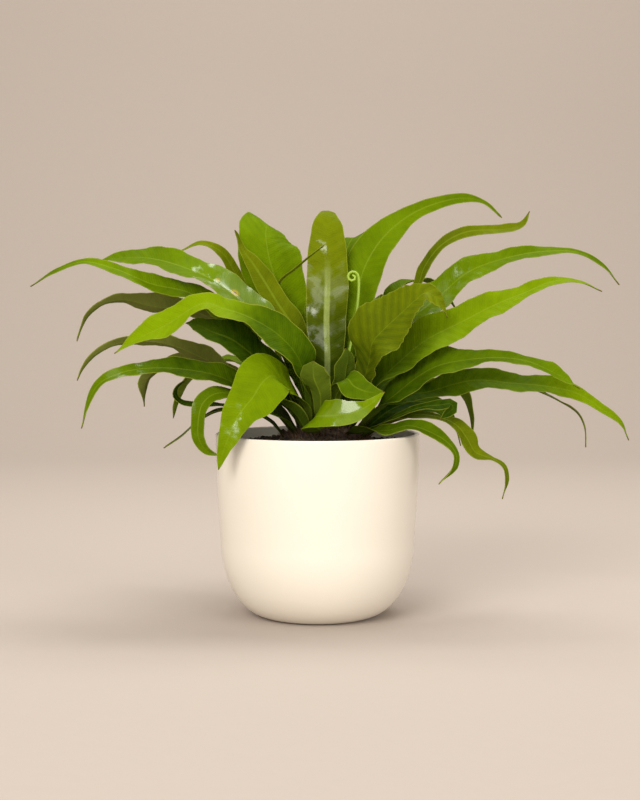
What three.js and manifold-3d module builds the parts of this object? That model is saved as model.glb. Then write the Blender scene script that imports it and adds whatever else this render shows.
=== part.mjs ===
// Potted bird's nest fern: a cream pot filled with soil, a short crown set in the soil, and a
// separate solid for every frond, each standing in its own hole in the crown.
// Millimetres, +Z up, the origin at the middle of the pot's flat base. The plant is seen from -Y.

import * as THREE from "three";
import { mergeVertices } from "three/addons/utils/BufferGeometryUtils.js";
import Module from "manifold-3d";

// Pot
const POT_HEIGHT = 183;
const POT_RADIUS = 102;
const POT_SHOULDER_RADIUS = 97;
const POT_SHOULDER_HEIGHT = 76;
const POT_BASE_RADIUS = 50;
const POT_WALL = 4.5;
const POT_FLOOR = 8;
const RIM_ROUND = 1.4;
const RIM_STEPS = 2;
const POT_SIDES = 48;
const CORNER_STEPS = 6;
const WALL_STEPS = 3;
const WALL_STEP_LEAST = 2;

// Soil and crown
const CLEARANCE = 0.3;
const SOIL_TOP = 172;
const SOIL_MOUND = 3;
const SOIL_RINGS = 5;
const SOIL_RELIEF = { height: 1.1, around: 5, outward: 0.21 };
const CROWN_X = 8;
const CROWN_RADIUS = 46;
const CROWN_BOTTOM = 148;
const CROWN_TOP = 190;
const CROWN_EDGE_DROP = 12;
const CROWN_CHAMFER = 7;
const CROWN_RINGS = 4;
const CROWN_SIDES = 32;
const CROWN_RELIEF = { height: 0.5, around: 7, outward: 0.35 };
const CUT_HEADROOM = 20;

// Stalks and blades
const STALK_HALF_WIDTH = 2.3;
const STALK_THICKNESS = 3.8;
const STALK_EDGE = 1.6;
const STALK_DEPTH = 9;
const STALK_RISE = 0.6;
const STALK_SHARE = 0.12;
const HOLE_RADIUS = 3;
const HOLE_SIDES = 8;
const BLADE_THICKNESS = 1.5;
const BLADE_EDGE = 0.9;
const BLADE_FOLD = 14;
const WIDE_BLADE = 12;
const STATION_LENGTH = 19;
const ROUTE_SAMPLES = 160;
const ROUTE_NUDGE = 0.002;

// Waves along both edges of a blade: they fade out towards the midrib and on narrow blades
const WAVE_HEIGHT = 2;
const WAVE_LENGTH = 58;
const WAVE_FADE = 1.5;
const WAVE_FULL_HALF_WIDTH = 14;
const WAVE_EDGE_SHIFT = 1.3;
const WAVE_FROND_SHIFT = 1.7;

// Crozier, the rolled young frond
const CROZIER_FOOT = [9, 20];
const CROZIER_STALK = [[21, 1, 222, 2.1, 0], [33, 6, 270, 2, 0], [40, 6, 309, 1.8, 0]];
const CROZIER_CENTRE = [35, 6, 339];
const CROZIER_RADIUS = 6;
const CROZIER_TURNS = 1.25;
const CROZIER_CLOSING = 0.66;
const CROZIER_HALF_WIDTH = 1.6;
const CROZIER_SLIMMING = 0.48;
const CROZIER_POINTS = 12;
const CROZIER_STATION_LENGTH = 2.4;
const CROZIER_COIL_LENGTH = 2 * Math.PI * CROZIER_TURNS * CROZIER_RADIUS * (1 - CROZIER_CLOSING / 2);

const COLOURS = {
  pot: 0xf3e6d2,
  soil: 0x3b2a1e,
  crown: 0x3a2c1c,
  bright: 0x8fae1c,
  deep: 0x4c7418,
  olive: 0x667c26,
};

// Every frond has a foot in the crown, as [distance from the crown's axis, direction in degrees],
// and a route of [x, y, z, half width, roll in degrees] from the stalk to the tip. Some have their
// own fold across the midrib or a shorter step between cross-sections.
const FRONDS = [
  // Left side, from the highest frond down
  { name: "frond_left_top", colour: "deep", foot: [17.5, 189], route: [
    [-14, -1, 216, 8, -5], [-26, -2, 258, 14, -14], [-62, -3, 301, 24, -45], [-95, -2, 330, 22, -42],
    [-128, 4, 346, 20.5, -45], [-166, 12, 357, 19, -48], [-196, 12, 358, 9.5, -52],
    [-219, 10, 355, 1.4, -30]] },
  { name: "frond_left_long", colour: "deep", foot: [26, 178], route: [
    [-28, 5, 214, 6, 0], [-48, 8, 247, 13, -12], [-78, 7, 284, 16, -28], [-124, 0, 321, 14, -38],
    [-167, -4, 332, 11.5, -42], [-200, -8, 346, 7.5, -42], [-231, -10, 353, 5, -35],
    [-255, -12, 346, 3.5, -36], [-284, -12, 329, 1.2, 0]] },
  { name: "frond_left_behind", colour: "olive", foot: [26, 152], route: [
    [-24, 24, 213, 9, 0], [-46, 36, 244, 14, 10], [-82, 46, 280, 16, 25], [-128, 52, 306, 14.5, 46],
    [-168, 54, 310, 17, 44], [-200, 53, 317, 10, 46], [-223, 51, 312, 4, 45], [-237, 49, 301, 3.5, 46],
    [-243, 48, 289, 2, 45], [-248, 47, 274, 1.2, 40]] },
  { name: "frond_left_bright", colour: "bright", foot: [17.5, 222], route: [
    [-10, -21, 215, 8, -30], [-18, -30, 256, 24, -68], [-38, -37, 281, 24.5, -74],
    [-70, -42, 300, 15, -70], [-92, -47, 307, 16.5, -64], [-109, -50, 312, 12.5, -62],
    [-147, -55, 290, 21, -60], [-178, -58, 275, 9, -60], [-195, -60, 264, 1.4, -30]] },
  { name: "frond_left_shaded", colour: "deep", foot: [26, 201], route: [
    [-24, -13, 206, 9, -10], [-47, -18, 247, 21, -51], [-66, -23, 263, 23, -50],
    [-85, -27, 277, 24, -52], [-103, -29, 284, 20, -48], [-118, -30, 291, 12, -46],
    [-129, -30, 293, 1.4, -30]] },
  { name: "frond_left_low_olive", colour: "olive", foot: [34, 168], route: [
    [-40, 9, 205, 9, 0], [-72, 9, 234, 14, 5], [-119, 13, 260, 16, 49], [-155, 12, 273, 11, 48],
    [-195, 11, 274, 7.5, 47], [-217, 10, 266, 4.5, 45], [-229, 9, 257, 3.5, 45],
    [-236, 9, 248, 2.5, 44], [-242, 9, 235, 1.2, 30]] },
  { name: "frond_left_low", colour: "deep", foot: [34, 198], route: [
    [-38, -16, 201, 8, -5], [-62, -23, 221, 16, -15], [-95, -33, 240, 18, -37],
    [-125, -38, 247, 15, -36], [-161, -43, 249, 12, -36], [-189, -46, 245, 8, -36],
    [-210, -47, 235, 7.5, -38], [-219, -48, 223, 5.5, -40], [-229, -48, 191, 1.2, 0]] },
  { name: "frond_left_drooping", colour: "olive", foot: [34, 150], route: [
    [-37, 25, 203, 7, 0], [-64, 40, 232, 12, 0], [-105, 44, 250, 11, 58], [-141, 42, 256, 8.5, 58],
    [-169, 39, 242, 9, 58], [-177, 38, 231, 8.5, 56], [-178, 38, 207, 1.2, 30]] },
  { name: "frond_left_curly", colour: "deep", foot: [34, 214], route: [
    [-33, -30, 199, 6, -10], [-58, -38, 210, 9, -20], [-84, -44, 224, 9, -35],
    [-100, -47, 224, 9, -50], [-111, -49, 215, 9, -60], [-115, -50, 199, 8, -60],
    [-115, -50, 182, 7, -60], [-108, -50, 171, 5, -50], [-95, -51, 165, 1.2, -40]] },
  { name: "frond_left_loop", colour: "deep", foot: [42, 189], route: [
    [-46, -11, 195, 4.5, 0], [-70, -15, 207, 7, 0], [-98, -19, 212, 7, 0], [-121, -21, 211, 7, -10],
    [-134, -22, 214, 6, -20], [-141, -22, 222, 5, -20], [-139, -22, 230, 3, -20],
    [-129, -22, 238, 1, -20]] },
  { name: "frond_left_tail", colour: "olive", foot: [42, 176], route: [
    [-48, 3, 195, 4.5, 0], [-74, 3, 206, 6, 0], [-102, 1, 204, 5.5, 0], [-124, -2, 191, 4, 0],
    [-136, -3, 180, 3, 0], [-154, -4, 168, 1, 0]] },

  // Front
  { name: "frond_front_left", colour: "bright", foot: [26, 232], step: 12, route: [
    [-13, -32, 212, 8, -20], [-33, -43, 234, 23, -51], [-44, -54, 242, 27, -50],
    [-53, -64, 236, 27.5, -58], [-62, -72, 222, 24, -58], [-74, -79, 207, 17, -50],
    [-83, -82, 188, 11, -47], [-89, -82, 172, 6, -43], [-94, -81, 154, 1.2, -40]] },
  { name: "frond_front_short", colour: "olive", foot: [17.5, 256], route: [
    [3, -31, 206, 7, 0], [3, -45, 224, 11, 0], [-3, -56, 240, 15.5, 0], [-4, -62, 251, 11, 0],
    [-4, -64, 257, 2, 0]] },
  { name: "frond_front_deep", colour: "deep", foot: [9, 308], route: [
    [17, -9, 216, 7, 0], [26, -12, 234, 12, 0], [28, -13, 248, 14, 0], [30, -13, 259, 9, 0],
    [28, -13, 268, 1.4, 0]] },
  { name: "frond_front_low", colour: "deep", foot: [34, 246], route: [
    [-12, -36, 191, 6, -20], [-20, -42, 204, 11, -40], [-31, -45, 214, 12, -45],
    [-43, -47, 220, 8, -40], [-53, -48, 221, 1.2, -30]] },
  { name: "frond_front_bright", colour: "bright", foot: [29, 264], route: [
    [-4, -46, 196, 14, 10], [-1, -62, 203, 19, 30], [15, -73, 205, 16, 45], [34, -79, 208, 12, 50],
    [50, -81, 216, 7, 45], [64, -78, 228, 1.2, 40]] },
  { name: "frond_front_upper", colour: "deep", foot: [17.5, 289], route: [
    [15, -28, 213, 6, 0], [23, -40, 233, 9, 20], [29, -51, 239, 12, 40], [36, -62, 232, 14, 50],
    [50, -67, 227, 9, 50], [63, -69, 228, 1.2, 45]] },

  // Middle
  { name: "frond_upright_centre", colour: "deep", foot: [9, 92], fold: -6, step: 12, route: [
    [9, 12, 220, 10, 0], [10, 14, 255, 16, 0], [9, 16, 290, 20, 0], [10, 18, 330, 21.5, 0],
    [10, 22, 364, 20, 0], [10, 30, 390, 16, 0], [11, 42, 406, 8, 0], [12, 62, 405, 4, 0],
    [12, 84, 388, 1.4, 0]] },
  { name: "frond_upright_broad", colour: "deep", foot: [26, 127], fold: 4, step: 12, route: [
    [-10, 27, 218, 9, 0], [-22, 36, 258, 16, -15], [-34, 40, 296, 22, -25], [-41, 45, 328, 30.5, -22],
    [-50, 50, 359, 37, -8], [-58, 59, 384, 31, 4], [-50, 72, 396, 16, 14], [-53, 90, 393, 7, 10],
    [-57, 103, 380, 1.6, 0]] },
  { name: "frond_upright_olive", colour: "olive", foot: [9, 164], route: [
    [-7, 14, 215, 7, -20], [-16, 21, 251, 10, -40], [-26, 23, 290, 13.5, -60], [-40, 24, 312, 12, -70],
    [-54, 26, 335, 11.5, -70], [-67, 25, 355, 8, -70], [-76, 23, 367, 4, -60], [-80, 18, 379, 2, -50],
    [-83, 11, 386, 1.2, -40]] },
  { name: "frond_thin_arch", colour: "deep", foot: [17.5, 158], route: [
    [-20, 16, 214, 3.5, 0], [-42, 40, 262, 5, 0], [-64, 56, 308, 6.5, -20], [-85, 60, 343, 7, -50],
    [-99, 59, 365, 5.5, -50], [-120, 57, 375, 3.5, -30], [-143, 55, 366, 1, 0]] },
  { name: "frond_thin_whip", colour: "olive", foot: [17.5, 126], route: [
    [-9, 19, 216, 3, 0], [-21, 26, 260, 3, 0], [-36, 32, 300, 3, 0], [-44, 34, 322, 2.6, 0],
    [-38, 28, 336, 2.2, 0], [-24, 20, 347, 1.8, 0], [-8, 9, 360, 1.4, 0], [7, 5, 371, 0.9, 0]] },
  { name: "frond_arching_right", colour: "deep", foot: [17.5, 34], route: [
    [25, 14, 222, 8, 0], [31, 24, 266, 15, 20], [38, 30, 306, 19, 40], [48, 34, 349, 22, 40],
    [70, 38, 383, 16.5, 40], [104, 42, 408, 8, 50], [146, 43, 420, 5.5, 55], [170, 41, 416, 2, 50],
    [188, 38, 400, 1.2, 30]] },
  { name: "frond_thin_curve", colour: "olive", foot: [17.5, 3], route: [
    [30, 4, 216, 3.5, 0], [43, 13, 260, 6, 10], [61, 20, 302, 8, 20], [100, 23, 328, 6.5, 38],
    [109, 22, 350, 8, 40], [124, 20, 370, 7, 50], [149, 18, 384, 6.5, 60], [190, 16, 387, 6, 50],
    [206, 15, 392, 4.5, 40], [213, 14, 405, 1, 30]] },
  { name: "frond_pleated", colour: "bright", foot: [17.5, 322], step: 12, route: [
    [41, -25, 220, 8.5, 64], [51, -36, 256, 23, 69], [54, -42, 274, 37.5, 69], [65, -45, 287, 38, 75],
    [81, -47, 302, 31, 72], [95, -50, 315, 21.5, 66], [105, -52, 322, 12, 63],
    [116, -52, 315, 10.5, 65], [126, -50, 298, 1.2, 40]] },

  // Right side, from the highest frond down
  { name: "frond_right_top", colour: "deep", foot: [26, 6], route: [
    [43, 5, 216, 7, 0], [61, 10, 252, 13, 15], [85, 12, 287, 19, 30], [123, 12, 320, 20.5, 42],
    [152, 10, 344, 16, 45], [187, 10, 357, 12, 40], [225, 9, 364, 8, 34], [261, 8, 363, 3.5, 35],
    [285, 7, 351, 3, 40], [302, 5, 331, 1.2, 0]] },
  { name: "frond_right_bright", colour: "bright", foot: [26, 345], route: [
    [43, -11, 209, 8, 0], [62, -19, 235, 18, 25], [85, -23, 258, 24, 42], [107, -25, 276, 25, 52],
    [142, -25, 294, 20, 55], [173, -27, 310, 16, 52], [202, -28, 322, 11.5, 45],
    [233, -28, 334, 6, 42], [257, -28, 333, 2.5, 43], [279, -26, 324, 1, 0]] },
  { name: "frond_right_middle", colour: "deep", foot: [34, 327], route: [
    [49, -25, 199, 9, 10], [78, -34, 224, 17.5, 54], [96, -38, 239, 22, 58], [117, -40, 251, 26, 55],
    [145, -42, 257, 15.5, 58], [176, -42, 259, 9.5, 56], [203, -42, 256, 8, 58],
    [225, -41, 247, 11.5, 60], [242, -40, 238, 6.5, 62], [256, -39, 229, 1.2, 0]] },
  { name: "frond_right_long", colour: "bright", foot: [34, 356], route: [
    [57, -4, 202, 7.5, 0], [83, -6, 220, 16, 30], [110, -7, 224, 10, 48], [136, -9, 232, 14, 60],
    [159, -10, 236, 14.5, 50], [191, -10, 233, 14, 34], [226, -10, 230, 14, 40], [258, -9, 223, 8, 60],
    [283, -8, 207, 6, 50], [302, -7, 194, 3.5, 42], [311, -6, 176, 1.2, 0]] },
  { name: "frond_right_thin", colour: "olive", foot: [34, 12], route: [
    [57, 11, 202, 6, 0], [92, 17, 224, 10, 0], [130, 20, 236, 10, 0], [175, 20, 236, 9, 0],
    [215, 19, 227, 7, 0], [245, 18, 214, 5, 0], [264, 17, 201, 4, 0], [271, 16, 186, 2.5, 0],
    [272, 16, 167, 1, 0]] },
  { name: "frond_right_kinked", colour: "deep", foot: [42, 325], route: [
    [54, -32, 190, 5, 0], [81, -37, 203, 5.5, 44], [103, -39, 211, 5, 44], [119, -42, 213, 8, 50],
    [130, -43, 214, 8.5, 50], [132, -44, 211, 6, 50], [126, -45, 206, 5, 50], [119, -46, 200, 1, 50]] },
  { name: "frond_right_trailing", colour: "olive", foot: [42, 341], route: [
    [63, -18, 191, 7, 0], [98, -24, 202, 6.5, 40], [120, -28, 200, 4.5, 40], [137, -30, 192, 8.5, 50],
    [147, -31, 179, 11, 50], [155, -31, 166, 10.5, 40], [173, -31, 159, 3, 38],
    [183, -31, 152, 3.5, 40], [186, -31, 139, 3, 46], [182, -31, 120, 1, 0]] },
  { name: "frond_right_over_rim", colour: "deep", foot: [34, 308], route: [
    [42, -41, 188, 8, 0], [69, -51, 189, 10, 52], [88, -58, 194, 10.5, 55], [106, -59, 189, 11, 57],
    [125, -60, 178, 6.5, 61], [133, -60, 167, 5, 64], [132, -60, 156, 5.5, 66],
    [117, -60, 138, 1.2, 20]] },

  // Far side
  { name: "frond_back_tall", colour: "deep", foot: [17.5, 65], route: [
    [14, 27, 220, 6, 0], [16, 45, 276, 13, 0], [21, 66, 328, 17, 0], [29, 90, 364, 17, 0],
    [38, 114, 383, 13, 0], [46, 142, 379, 8, 0], [52, 162, 361, 3.5, 0], [54, 171, 345, 1.2, 0]] },
  { name: "frond_back_inner", colour: "bright", foot: [17.5, 96], route: [
    [8, 32, 216, 6, 0], [4, 58, 266, 13, 0], [-1, 88, 304, 18, 0], [-7, 120, 326, 17, 0],
    [-15, 152, 326, 12, 0], [-21, 174, 308, 6, 0], [-24, 184, 288, 1.2, 0]] },
  { name: "frond_back_right_high", colour: "deep", foot: [26, 30], route: [
    [39, 21, 214, 6, 0], [53, 35, 258, 12, 0], [69, 49, 302, 15, 0], [86, 61, 330, 15, 0],
    [108, 72, 337, 12, 0], [130, 82, 326, 7, 0], [148, 88, 305, 1.2, 0]] },
  { name: "frond_back_right", colour: "bright", foot: [26, 58], route: [
    [25, 35, 213, 7, 0], [32, 62, 253, 15, 0], [41, 93, 290, 20, 0], [51, 130, 311, 20, 0],
    [62, 170, 309, 16, 0], [72, 205, 291, 10, 0], [80, 232, 264, 4, 0], [83, 243, 244, 1.2, 0]] },
  { name: "frond_back_left_high", colour: "deep", foot: [26, 108], route: [
    [-6, 36, 212, 7, 0], [-19, 65, 252, 15, 0], [-34, 101, 286, 20, 0], [-49, 140, 298, 19, 0],
    [-62, 176, 288, 13, 0], [-73, 203, 264, 7, 0], [-79, 217, 240, 1.2, 0]] },
  { name: "frond_back_left", colour: "bright", foot: [34, 130], route: [
    [-27, 41, 204, 6, 0], [-50, 67, 232, 14, 0], [-80, 93, 250, 19, 0], [-111, 122, 250, 16, 0],
    [-139, 148, 232, 10, 0], [-157, 164, 203, 4, 0], [-161, 168, 186, 1.2, 0]] },
  { name: "frond_back_low_left", colour: "deep", foot: [42, 116], route: [
    [-20, 55, 197, 8, 0], [-37, 74, 221, 15, 0], [-56, 99, 235, 18, 0], [-74, 125, 227, 15, 0],
    [-86, 144, 199, 8, 0], [-90, 151, 170, 1.2, 0]] },
  { name: "frond_back_low", colour: "deep", foot: [34, 92], route: [
    [6, 48, 205, 7, 0], [4, 79, 232, 15, 0], [0, 117, 248, 19, 0], [-4, 155, 243, 18, 0],
    [-8, 190, 220, 12, 0], [-10, 210, 190, 5, 0], [-10, 216, 168, 1.2, 0]] },
  { name: "frond_back_low_right", colour: "deep", foot: [36, 70], route: [
    [25, 47, 199, 6, 0], [35, 81, 220, 14, 0], [44, 119, 228, 17, 0], [51, 155, 216, 14, 0],
    [56, 181, 189, 8, 0], [57, 192, 157, 1.6, 0]] },
  { name: "frond_back_side", colour: "deep", foot: [42, 24], route: [
    [58, 21, 192, 9, 15], [79, 31, 206, 15, 35], [103, 41, 212, 16, 45], [127, 49, 203, 12, 45],
    [143, 54, 184, 6, 30], [149, 56, 165, 1.2, 15]] },
  { name: "frond_back_low_side", colour: "deep", foot: [34, 42], route: [
    [45, 34, 203, 7, 0], [71, 58, 229, 15, 0], [100, 84, 245, 18, 0], [130, 109, 241, 15, 0],
    [155, 129, 220, 9, 0], [168, 139, 192, 4, 0], [170, 141, 172, 1.2, 0]] },
];

const manifoldLibrary = await Module();
manifoldLibrary.setup();

const toRadians = (degrees) => (degrees * Math.PI) / 180;

const smoothStep = (from, to, value) => {
  const share = Math.min(Math.max((value - from) / (to - from), 0), 1);
  return share * share * (3 - 2 * share);
};

// A solid for cutting, from a closed three.js geometry.
function toSolid(geometry) {
  const bare = geometry.clone();
  bare.deleteAttribute("normal");
  bare.deleteAttribute("uv");
  const merged = mergeVertices(bare, 1e-4);
  return new manifoldLibrary.Manifold(new manifoldLibrary.Mesh({
    numProp: 3,
    vertProperties: new Float32Array(merged.attributes.position.array),
    triVerts: new Uint32Array(merged.index.array),
  }));
}

function toGeometry(solid) {
  const mesh = solid.getMesh();
  const geometry = new THREE.BufferGeometry();
  geometry.setAttribute("position", new THREE.BufferAttribute(mesh.vertProperties, 3));
  geometry.setIndex(new THREE.BufferAttribute(mesh.triVerts, 1));
  geometry.computeVertexNormals();
  return geometry;
}

// A lathe turned round +Z from a profile of [radius, height].
function turned(profile, sides) {
  const points = profile.map(([radius, height]) => new THREE.Vector2(radius, height));
  return new THREE.LatheGeometry(points, sides).rotateX(Math.PI / 2);
}

// An upright cylinder from a bottom height to well above the part, for cutting a hole downwards.
function cutter(x, y, bottom, radius, sides) {
  const depth = CROWN_TOP + CUT_HEADROOM - bottom;
  const cylinder = new THREE.CylinderGeometry(radius, radius, depth, sides).rotateX(Math.PI / 2);
  return toSolid(cylinder.translate(x, y, bottom + depth / 2));
}

// Lifts and lowers the points inside a radius and above a height, in waves round the axis.
function roughen(geometry, { height, around, outward }, innermost, outermost, lowest) {
  const position = geometry.attributes.position;
  for (let index = 0; index < position.count; index += 1) {
    const [x, y, z] = [position.getX(index), position.getY(index), position.getZ(index)];
    const radius = Math.hypot(x, y);
    if (radius > innermost && radius < outermost && z > lowest) {
      const angle = Math.atan2(y, x);
      const wave = Math.sin(around * angle + outward * radius)
        + Math.sin((2 * around + 1) * angle - 2 * outward * radius);
      position.setZ(index, z + height * wave);
    }
  }
}

// Heights and outer radii of the pot's wall, from the edge of the flat base to the rim.
function wallPoints() {
  const points = [];
  for (let step = 0; step <= CORNER_STEPS; step += 1) {
    const angle = (Math.PI / 2) * (step / CORNER_STEPS);
    points.push([
      POT_BASE_RADIUS + (POT_SHOULDER_RADIUS - POT_BASE_RADIUS) * Math.sin(angle),
      POT_SHOULDER_HEIGHT * (1 - Math.cos(angle)),
    ]);
  }
  for (let step = 1; step <= WALL_STEPS; step += 1) {
    const share = step / WALL_STEPS;
    points.push([
      POT_SHOULDER_RADIUS + (POT_RADIUS - POT_SHOULDER_RADIUS) * Math.sin((Math.PI / 2) * share),
      POT_SHOULDER_HEIGHT + (POT_HEIGHT - RIM_ROUND - POT_SHOULDER_HEIGHT) * share,
    ]);
  }
  return points;
}

// The rounded rim, from just above the outer wall over to just above the inner wall.
function rimPoints() {
  const outer = [];
  for (let step = 1; step <= RIM_STEPS; step += 1) {
    const angle = (Math.PI / 2) * (step / RIM_STEPS);
    outer.push([RIM_ROUND * (1 - Math.cos(angle)), POT_HEIGHT - RIM_ROUND * (1 - Math.sin(angle))]);
  }
  return [
    ...outer.map(([inset, z]) => [POT_RADIUS - inset, z]),
    ...outer.toReversed().map(([inset, z]) => [POT_RADIUS - POT_WALL + inset, z]),
  ];
}

// The pot's inner radius at a height, at a distance from the wall.
function innerRadius(height, gap) {
  const points = wallPoints();
  const above = Math.max(1, points.findIndex(([, z]) => z >= height));
  const [lowRadius, lowHeight] = points[above - 1];
  const [highRadius, highHeight] = points[above];
  const share = (height - lowHeight) / (highHeight - lowHeight);
  return lowRadius + (highRadius - lowRadius) * share - POT_WALL - gap;
}

// The inner wall's profile between two heights, with the steps of the outer wall.
function innerWall(bottom, top, gap) {
  const heights = wallPoints().map(([, z]) => z)
    .filter((z) => z > bottom + WALL_STEP_LEAST && z < top - WALL_STEP_LEAST);
  return [bottom, ...heights, top].map((z) => [innerRadius(z, gap), z]);
}

function potGeometry() {
  const inside = innerWall(POT_FLOOR, POT_HEIGHT - RIM_ROUND, 0).reverse();
  return turned([[0, 0], ...wallPoints(), ...rimPoints(), ...inside, [0, POT_FLOOR]], POT_SIDES);
}

// The soil fills the pot. Its top is a low rough mound, and the crown stands in a well in it.
function soilGeometry() {
  const floor = POT_FLOOR + CLEARANCE;
  const side = innerWall(floor, SOIL_TOP, CLEARANCE);
  const edge = side[side.length - 1][0];
  const top = [];
  for (let ring = 1; ring <= SOIL_RINGS; ring += 1) {
    const share = ring / SOIL_RINGS;
    top.push([edge * (1 - share), SOIL_TOP + SOIL_MOUND * share]);
  }
  const geometry = turned([[0, floor], ...side, ...top], POT_SIDES);
  roughen(geometry, SOIL_RELIEF, 1, edge - 1, SOIL_TOP - 1);
  const well = cutter(CROWN_X, 0, CROWN_BOTTOM - CLEARANCE, CROWN_RADIUS + CLEARANCE, CROWN_SIDES);
  return toGeometry(toSolid(geometry).subtract(well));
}

const crownHeight = (radius) => CROWN_TOP - CROWN_EDGE_DROP * (radius / CROWN_RADIUS) ** 2;

const footPoint = ([radius, direction]) => new THREE.Vector3(
  CROWN_X + radius * Math.cos(toRadians(direction)),
  radius * Math.sin(toRadians(direction)),
  crownHeight(radius),
);

// The crown is a low rough dome of old frond bases with a plain hole for every stalk.
function crownGeometry(feet) {
  const profile = [
    [0, CROWN_BOTTOM],
    [CROWN_RADIUS - CROWN_CHAMFER, CROWN_BOTTOM],
    [CROWN_RADIUS, CROWN_BOTTOM + CROWN_CHAMFER],
    [CROWN_RADIUS, SOIL_TOP],
  ];
  for (let ring = 1; ring <= CROWN_RINGS; ring += 1) {
    const radius = CROWN_RADIUS * (1 - ring / CROWN_RINGS);
    profile.push([radius, crownHeight(radius)]);
  }
  const geometry = turned(profile, CROWN_SIDES);
  roughen(geometry, CROWN_RELIEF, 1, CROWN_RADIUS - 1, SOIL_TOP);
  const holes = feet.map(({ x, y, z }) => (
    cutter(x, y, z - STALK_DEPTH - CLEARANCE, HOLE_RADIUS, HOLE_SIDES)
  ));
  const dome = toSolid(geometry.translate(CROWN_X, 0, 0));
  return toGeometry(holes.reduce((solid, hole) => solid.subtract(hole), dome));
}

// A value that runs smoothly through a list of values, with t from 0 to 1 over the whole list.
function smoothValue(values, t) {
  const last = values.length - 1;
  const place = Math.min(Math.max(t, 0), 1) * last;
  const index = Math.min(Math.floor(place), last - 1);
  const share = place - index;
  const eased = (share + smoothStep(0, 1, share)) / 2;
  return values[index] + (values[index + 1] - values[index]) * eased;
}

// Samples along a frond: place, across and upward unit vectors, half width, distance.
function sampleRoute(foot, facing, rows) {
  const start = foot.clone().setZ(foot.z + STALK_RISE);
  const points = [start, ...rows.map(([x, y, z]) => new THREE.Vector3(x, y, z))];
  const widths = [STALK_HALF_WIDTH, ...rows.map((row) => row[3])];
  const rolls = [0, ...rows.map((row) => row[4])];
  const curve = new THREE.CatmullRomCurve3(points, false, "centripetal");
  const samples = [];
  let upward = facing.clone();
  let distance = 0;
  for (let step = 0; step <= ROUTE_SAMPLES; step += 1) {
    const t = step / ROUTE_SAMPLES;
    const place = curve.getPoint(t);
    const before = curve.getPoint(Math.max(t - ROUTE_NUDGE, 0));
    const direction = curve.getPoint(Math.min(t + ROUTE_NUDGE, 1)).sub(before).normalize();
    upward = upward.clone().addScaledVector(direction, -upward.dot(direction)).normalize();
    if (step > 0) {
      distance += place.distanceTo(samples[step - 1].place);
    }
    const roll = toRadians(smoothValue(rolls, t));
    const side = direction.clone().cross(upward);
    const up = upward.clone().multiplyScalar(Math.cos(roll)).addScaledVector(side, Math.sin(roll));
    samples.push({
      place,
      up,
      across: direction.clone().cross(up),
      halfWidth: smoothValue(widths, t),
      distance,
    });
  }
  return samples;
}

function sampleAt(samples, distance) {
  const reached = samples.findIndex((sample) => sample.distance >= distance);
  const next = reached === -1 ? samples.length - 1 : Math.max(1, reached);
  const [low, high] = [samples[next - 1], samples[next]];
  const share = (distance - low.distance) / (high.distance - low.distance);
  return {
    place: low.place.clone().lerp(high.place, share),
    up: low.up.clone().lerp(high.up, share).normalize(),
    across: low.across.clone().lerp(high.across, share).normalize(),
    halfWidth: low.halfWidth + (high.halfWidth - low.halfWidth) * share,
    distance,
  };
}

// One cross-section of a frond: the upper and lower points at each column from edge to edge.
// The form gives the fold of the blade, the start of its waves and how much of a blade it is;
// past runs from 0 on the stalk to 1 beyond it.
function sectionPoints(sample, columns, form, past) {
  const bladeShare = form.blade * past;
  const stalkShare = 1 - bladeShare - form.slimming * past;
  const slope = toRadians(form.fold) * bladeShare;
  const middle = BLADE_THICKNESS + (STALK_THICKNESS - BLADE_THICKNESS) * stalkShare;
  const edge = BLADE_EDGE + (STALK_EDGE - BLADE_EDGE) * stalkShare;
  const ripple = WAVE_HEIGHT * bladeShare * Math.min(1, sample.halfWidth / WAVE_FULL_HALF_WIDTH);
  const upper = [];
  const lower = [];
  for (let column = 0; column <= columns; column += 1) {
    const v = (2 * column) / columns - 1;
    const turn = (2 * Math.PI * sample.distance) / WAVE_LENGTH + form.phase;
    const wave = ripple * Math.abs(v) ** WAVE_FADE * Math.sin(v > 0 ? turn + WAVE_EDGE_SHIFT : turn);
    const centre = sample.place.clone()
      .addScaledVector(sample.across, sample.halfWidth * v * Math.cos(slope))
      .addScaledVector(sample.up, sample.halfWidth * Math.abs(v) * Math.sin(slope) + wave);
    const half = (edge + (middle - edge) * (1 - v * v)) / 2;
    upper.push(centre.clone().addScaledVector(sample.up, half));
    lower.push(centre.clone().addScaledVector(sample.up, -half));
  }
  return { upper, lower };
}

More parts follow.
